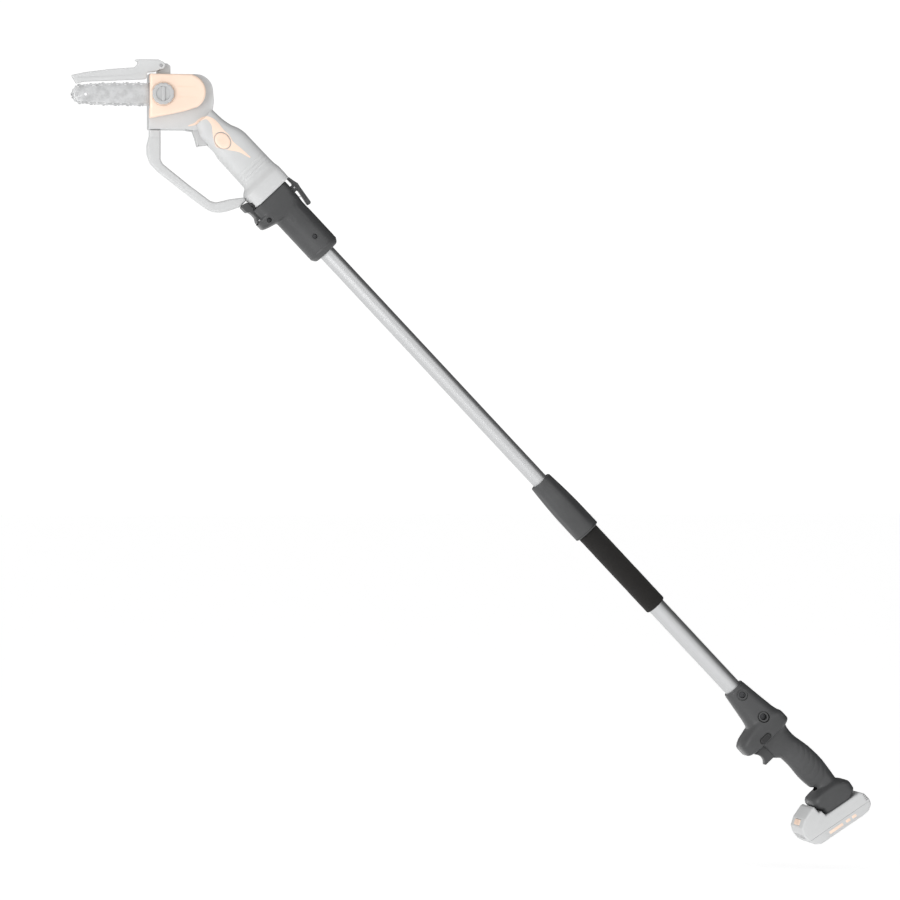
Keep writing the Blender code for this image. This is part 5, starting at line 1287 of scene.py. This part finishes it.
makeSawControls()


def chainLine(reach):
    # the bar's nose, its slightly bowed edges and the sprocket, as one closed line
    nose = arc((-126, -1), 12 + reach, 100, 260, 40)
    tail = arc(sawLook["sprocket"], 12 + reach, -70, 70, 30)
    root = 15.4 + reach
    at = np.linspace(0, 3, 60)
    below = through(range(4), [nose[-1], (-80, -root + 0.6), (0, -root + 0.4), tail[0]], at)
    above = through(range(4), [tail[-1], (0, root - 0.4), (-80, root - 1.4), nose[0]], at)
    return np.concatenate([nose[:-1], below[:-1], tail[:-1], above[:-1]])


def makeBar():
    y = sawLook["chainY"]
    nose = arc((-126, -1), 12, 100, 260, 40)
    edge = [(-80, -14.8), (0, -15), (18, -11), (20, -6), (20, 6), (18, 11), (0, 15), (-80, 14)]
    made = plate("guide_bar_ground", np.concatenate([nose, edge]), y - 1.6, y + 1.6, head, 0.35, steps=2)
    slot = np.concatenate([arc((-10, 0), 4.4, 90, 270, 12), arc((7, 0), 4.4, -90, 90, 12)])
    cut(made, [prism("slot", slot, y - 5, y + 5, head)]
        + [rod("hole", y - 5, y + 5, r, head, (x, z), 32)
           for x, z, r in ((-119, -1, 2.2), (13, 7.5, 1.6), (13, -7.5, 1.6))])
    rivet = [(y - 1.9, 0), (y - 1.9, 1.1), (y - 1.4, 1.5), (y + 1.4, 1.5), (y + 1.9, 1.1), (y + 1.9, 0)]
    cut(made, [turned("rivet", rivet, head, "across", (-126 + 7.6 * math.cos(a), -1 + 7.6 * math.sin(a)), 20)
               for a in (2.1, 3.14, 4.18)], "UNION")
    panel = softCorners([(-104, -6.5, 3), (-34, -7.5, 3), (-34, 6.5, 3), (-104, 4.5, 3)])
    cut(made, [prism("panel", panel, y - 4, y - 1.45, head)])
    finished(made, barLook, "saw", "guide_bar", sharp=28)


makeBar()


def makeChain():
    # Links along the chain's line, one each pitch: link plates lie outside drive links, and every third link
    # carries a tooth with a raker before it. All are copies of one outline, turned to the line's direction.
    line = chainLine(1.9)
    closed = np.vstack([line, line[:1]])
    run = np.r_[0, np.cumsum(np.linalg.norm(np.diff(closed, axis=0), axis=1))]
    count = int(round(run[-1] / 6.35 / 6)) * 6
    pitch = run[-1] / count
    at = (np.arange(count) + 0.5) * pitch

    def spots(distance):
        return np.stack([np.interp(distance % run[-1], run, closed[:, k]) for k in range(2)], 1)
    point = spots(at)
    ahead = spots(at + 1.5) - spots(at - 1.5)
    ahead /= np.linalg.norm(ahead, axis=1)[:, None]
    outer = np.c_[ahead[:, 1], -ahead[:, 0]]
    middle = sawLook["chainY"]

    def copies(which, shape, y0, y1):
        # shape: (along, out) points; each copy is a prism from y0 to y1
        shape = np.array(shape, float)
        n = len(shape)
        flat = (point[which][:, None] + shape[None, :, 0:1] * ahead[which][:, None]
                + shape[None, :, 1:2] * outer[which][:, None])
        low = np.insert(flat, 1, middle + y0, axis=2)
        high = np.insert(flat, 1, middle + y1, axis=2)
        points = np.concatenate([low, high], axis=1).reshape(-1, 3)
        ring = np.arange(n)
        sides = [[k, k + n, (k + 1) % n + n, (k + 1) % n] for k in range(n)]
        one = [list(ring), list(ring[::-1] + n)] + sides
        faces = [[v + 2 * n * k for v in face] for k in range(len(which)) for face in one]
        return points, faces

    every = np.arange(count)
    link = [(-4.9, -0.6), (-4.3, -1.7), (-2.6, -1.9), (-1.2, -1.1), (1.2, -1.1), (2.6, -1.9), (4.3, -1.7),
            (4.9, -0.6), (4.4, 0.7), (2.8, 1.2), (1.4, 0.8), (-1.4, 0.8), (-2.8, 1.2), (-4.4, 0.7)]
    drive = [(-4.4, -1.0), (-1.4, -2.0), (0.6, -3.6), (1.6, -3.4), (2.2, -1.6), (4.4, -0.8), (4.2, 0.6),
             (-4.2, 0.6)]
    blade = [(-3.6, 0.2), (3.4, 0.2), (3.5, 1.4), (2.7, 1.9), (1.6, 0.9), (0.3, 0.8), (-0.4, 2.1),
             (-3.0, 1.8), (-4.0, 0.9)]
    crown = [(-0.4, 1.75), (-0.2, 2.25), (-3.2, 1.95), (-3.1, 1.5)]
    rivet = ellipse((3.17, -0.5), 1.05, 1.05, 8)
    even, odd = every[::2], every[1::2]
    near, far = every[::6], every[3::6]
    groups = [(np.setdiff1d(even, near), link, -1.75, -0.75), (even, link, 0.75, 1.75),
              (odd, drive, -0.6, 0.6), (near, [(x * 1.3, z) for x, z in blade], -1.9, -0.75),
              (near, crown, -1.9, 1.1), (far, [(x * 1.2, z) for x, z in blade], 0.75, 1.9),
              (far, crown, -1.1, 1.9), (every, rivet, -2.1, 2.1)]
    points, faces, total = [], [], 0
    for which, shape, y0, y1 in groups:
        p, f = copies(which, shape, y0, y1)
        points.append(p)
        faces += [[v + total for v in face] for face in f]
        total += len(p)
    made = outward(meshFrom("saw_chain_links", np.concatenate(points), faces, head))
    finished(made, chainLook, "saw", "saw_chain", sharp=28, wear=False)


makeChain()


def makeCover():
    outline = softCorners([(-20, 31.5, 2), (46, 31.5, 6), *arc((40, 4), 27.5, 72, -58, 30), (36, -25.5, 8),
                           (14, -30.5, 14), (-20, -37.5, 2)], 6)
    y0, rim = -28.0, sawLook["leftFace"] - gap
    made = plate("side_cover_moulded", outline, y0, rim, head, 5.0, 3.2, 8, highRim=False)
    hollow = plate("hollow", shrunk(outline, 2.4), y0 + 2.6, rim + 4, head, 4.0, 3.0, 4, highRim=False)
    mouth = block("mouth", (-30, sawLook["chainY"] - 5, -22), (-16, rim + 4, 22.5), head)
    bore = rod("bore", y0 - 5, y0 + 5, 4.3, head, (0, 0), 40)
    dish = turned("dish", [(y0 - 5, 0), (y0 - 5, 19.4), (y0 + 0.05, 19.0), (y0 + 0.7, 18.4), (y0 + 0.7, 0)],
                  head, "across", (0, 0), 72)
    lines = [prism("line", softCorners([(24, z, 0.4), (52, z, 0.4), (52, z - 0.9, 0.4), (24, z - 0.9, 0.4)]),
                   y0 - 4, y0 + 0.5, head) for z in (12.0, -4.0)]
    cut(made, [hollow, mouth, bore, dish, *lines])
    finished(made, palePeach, "saw", "side_cover")
    back = y0 - gap
    a = np.linspace(0, np.pi / 2, 6)
    edge = [(back - 5.6 - 2.0 * math.sin(k), 17 - 2.4 * (1 - math.cos(k))) for k in a]
    profile = np.array([(back, 4.5), (back, 15.4), (back - 0.9, 16.6), (back - 1.8, 17.0), *edge,
                        (back - 7.2, 11.5), (back - 5.2, 10.6), (back - 5.0, 0.0), (back - 3.4, 0.0),
                        (back - 3.4, 4.5)])

    def flutes(distance, angle):
        # twelve narrow waves round the rim, cos(12 * angle), and none near the middle
        outside = np.clip((profile[:, 1:2] - 12.5) / 3, 0, 1)
        return -0.9 * outside * np.clip(np.cos(12 * angle) * 1.6 - 0.6, 0, 1)
    knob = mended(turned("tension_knob_moulded", profile, head, "across", segments=144, flute=flutes))
    cut(knob, [plate("bar", capsule(0, 0, 6.4, 23, 10), back - 7.4, back - 4.6, head, 1.6, highRim=False)],
        "UNION")
    finished(knob, greyTrim, "knob", "tension_knob")


makeCover()


def makeGuard():
    gx, gz = sawLook["guardPivot"]
    y = sawLook["chainY"]
    outline = softCorners([(-142, 28, 1), (-134, 15.4, 1), (-121, 18.6, 6), (-44, 22.4, 4), (-25, 23.6, 1.5),
                           (-23.5, 34, 2), (gx - 9, 35, 2), *arc((gx, gz), 6.5, -110, 75, 20), (-6, 54, 2),
                           (-32, 54, 4), (-44.6, 53.2, 0.8), (-36, 49, 3), (-44, 41.2, 6), (-82, 38, 14),
                           (-121, 32.6, 14)], 6)
    made = plate("chain_guard_moulded", outline, y - 7, sawLook["leftFace"] - gap, head, 1.2, steps=5)
    channel = [(-150, 5), (-26, 5), (-28, 31), (-121, 27), (-150, 24)]
    line = softCorners([(-132, 23.6, 0.4), (-50, 28.2, 0.4), (-34, 34, 0.4), (-34, 35, 0.4), (-50, 29.2, 0.4),
                        (-132, 24.6, 0.4)])
    cut(made, [prism("channel", channel, y - 4.4, y + 3.4, head),
               rod("bore", y - 12, -2, 2.3, head, (gx, gz), 32),
               prism("line", line, y - 12, y - 6.5, head)])
    finished(made, paleGrey, "guard", "chain_guard")


makeGuard()
print("saw made")


# The battery pack, in the foot's place: a case in two halves, and the release button in its corner.
packLook = {"split": 20.0, "wall": 2.5}


def packPlaces():
    low, high = foot.span("battery_case_lower")
    top, bottom = foot.span("battery_case_upper")[1][2], foot.span("battery_case_upper")[0][2]
    return high[0], top - 12.6, bottom + 12.0, high[1]


def packOutline():
    deep, top, low, half = packPlaces()
    return softCorners([
        (0.5, top + 5.2, 1), (6, top + 10.2, 5), (18, top + 12.6, 9), (27, top + 10.6, 8),
        (deep - 1.6, top + 1.6, 7),
        (deep, top - 10.4, 6), (deep, low + 5.4, 6), (deep - 6.3, low - 5.6, 7), (19, low - 10.6, 9),
        (6, low - 12, 6), (-4.6, low - 8.8, 4), (-14, low + 2.8, 4), (-21.6, -49.5, 3), (-21.6, -44.6, 1.5),
        (-9.6, -43, 1),
        (-9, -38, 1), (0.5, -35.6, 0.8)], 6)


def packButton(grow=0.0, reach=0.0):
    deep, top, low, half = packPlaces()
    foot1, corner = np.array([-4.6, low - 8.8]), np.array([-14.0, low + 2.8])
    ahead = (foot1 - corner) / np.linalg.norm(foot1 - corner)
    inward = np.array([-ahead[1], ahead[0]])
    start = corner + ahead * 2.4
    near, far = -1.0 - 8 * grow, 6 + grow + reach
    shape = [(-grow, near), (9.6 + grow, near), (9.6 + grow, far), (-grow, far)]
    return np.array([start + ahead * a + inward * b for a, b in shape])


def makePack():
    deep, top, low, half = packPlaces()
    split, wall = packLook["split"], packLook["wall"]
    outline = packOutline()
    below = block("below", (split, -60, -120), (80, 60, 80), foot)
    above = block("above", (-60, -60, -120), (split + gap, 60, 80), foot)
    hollow = block("hollow", (5, -half + wall, low), (deep - wall, half - wall, top), foot)
    tongue = railPrism("tongue", 0.0, -32, 15, foot)
    room = prism("room", packButton(0.5, 6.0), -16.5, 16.5, foot)
    slots = [block("slot", (-12, y - 1.1, 1), (-5, y + 1.1, 17), foot) for y in (-9, 0, 9)]
    ribRoom = [block("ribRoom", (x, -half + 8, -120), (x + 1.2, half - 8, low - 6.4), foot)
               for x in (8.5, 11.5, 14.5)]
    upper = plate("pack_upper", outline, -half, half, foot, 3.4, 3.4, 6)
    carve(upper, [tongue], "UNION")
    carve(upper, [below, hollow, room, *slots, *ribRoom])
    cut(upper, [block("edge", (x, -half - 4, top + 6.0), (x + 1.0, half + 4, top + 40), foot)
                for x in (6.5, 9.5, 12.5, 15.5)])
    finished(upper, paleGrey, "battery", "battery_case_upper", sharp=36)
    lower = plate("pack_lower", outline, -half, half, foot, 3.4, 3.4, 6)
    panel = prism("panel", softCorners([(split + 2.4, -52, 2), (deep - 3.4, -52, 2), (deep - 3.4, 12, 2),
                                        (split + 2.4, 12, 2)]), -half - 5, -half + 0.5, foot)
    carve(lower, [above, hollow, panel])
    finished(lower, paleGrey, "battery", "battery_case_lower", sharp=36)
    clearTools(below, above, hollow, tongue, room, panel, *slots, *ribRoom)
    # painted shade: a black ring set back in the gap between the case halves stands for the shade in the seam
    seam = plate("pack_seam_shade", shrunk(outline, 1.1), -half + 1.1, half - 1.1, foot, 3.0, 3.0, 4)
    cut(seam, [block("keep", (split - 0.05, -60, -120), (split + gap + 0.05, 60, 80), foot)], "INTERSECT")
    cut(seam, [block("gone", (0, -half + wall, low), (60, half - wall, top), foot)])
    finished(seam, innerDark, "battery", wear=False)
    # a plain label: a pale bar and two short marks, with nothing written on it
    x0, x1 = split + 4.6, deep - 5.6
    label = [plate("mark", softCorners([(x0, a, 1.2), (x1, a, 1.2), (x1, b, 1.2), (x0, b, 1.2)]),
                   -half + 0.35, -half + 0.95, foot, 0.2, steps=2)
             for a, b in ((-46, -20), (-14, -6), (-2, 6))]
    finished(join("pack_label", label), palePeach, "battery", wear=False)
    shape = packButton()
    button = plate("pack_release", softCorners([(*p, 1.0) for p in shape], 5), -16, 16, foot, 1.2)
    ribs = []
    ahead = (shape[1] - shape[0]) / np.linalg.norm(shape[1] - shape[0])
    outwardWay = (shape[0] - shape[3]) / np.linalg.norm(shape[0] - shape[3])
    for k in range(3):
        a = shape[0] + ahead * (2.6 + 2.2 * k) + outwardWay * 2
        b = a + ahead * 0.9
        ribs.append(prism("rib", [a, b, b - outwardWay * 2.5, a - outwardWay * 2.5], -12, 12, foot))
    cut(button, ribs)
    finished(button, palePeach, "battery_button_body", "battery_button")


makePack()
print("battery made")
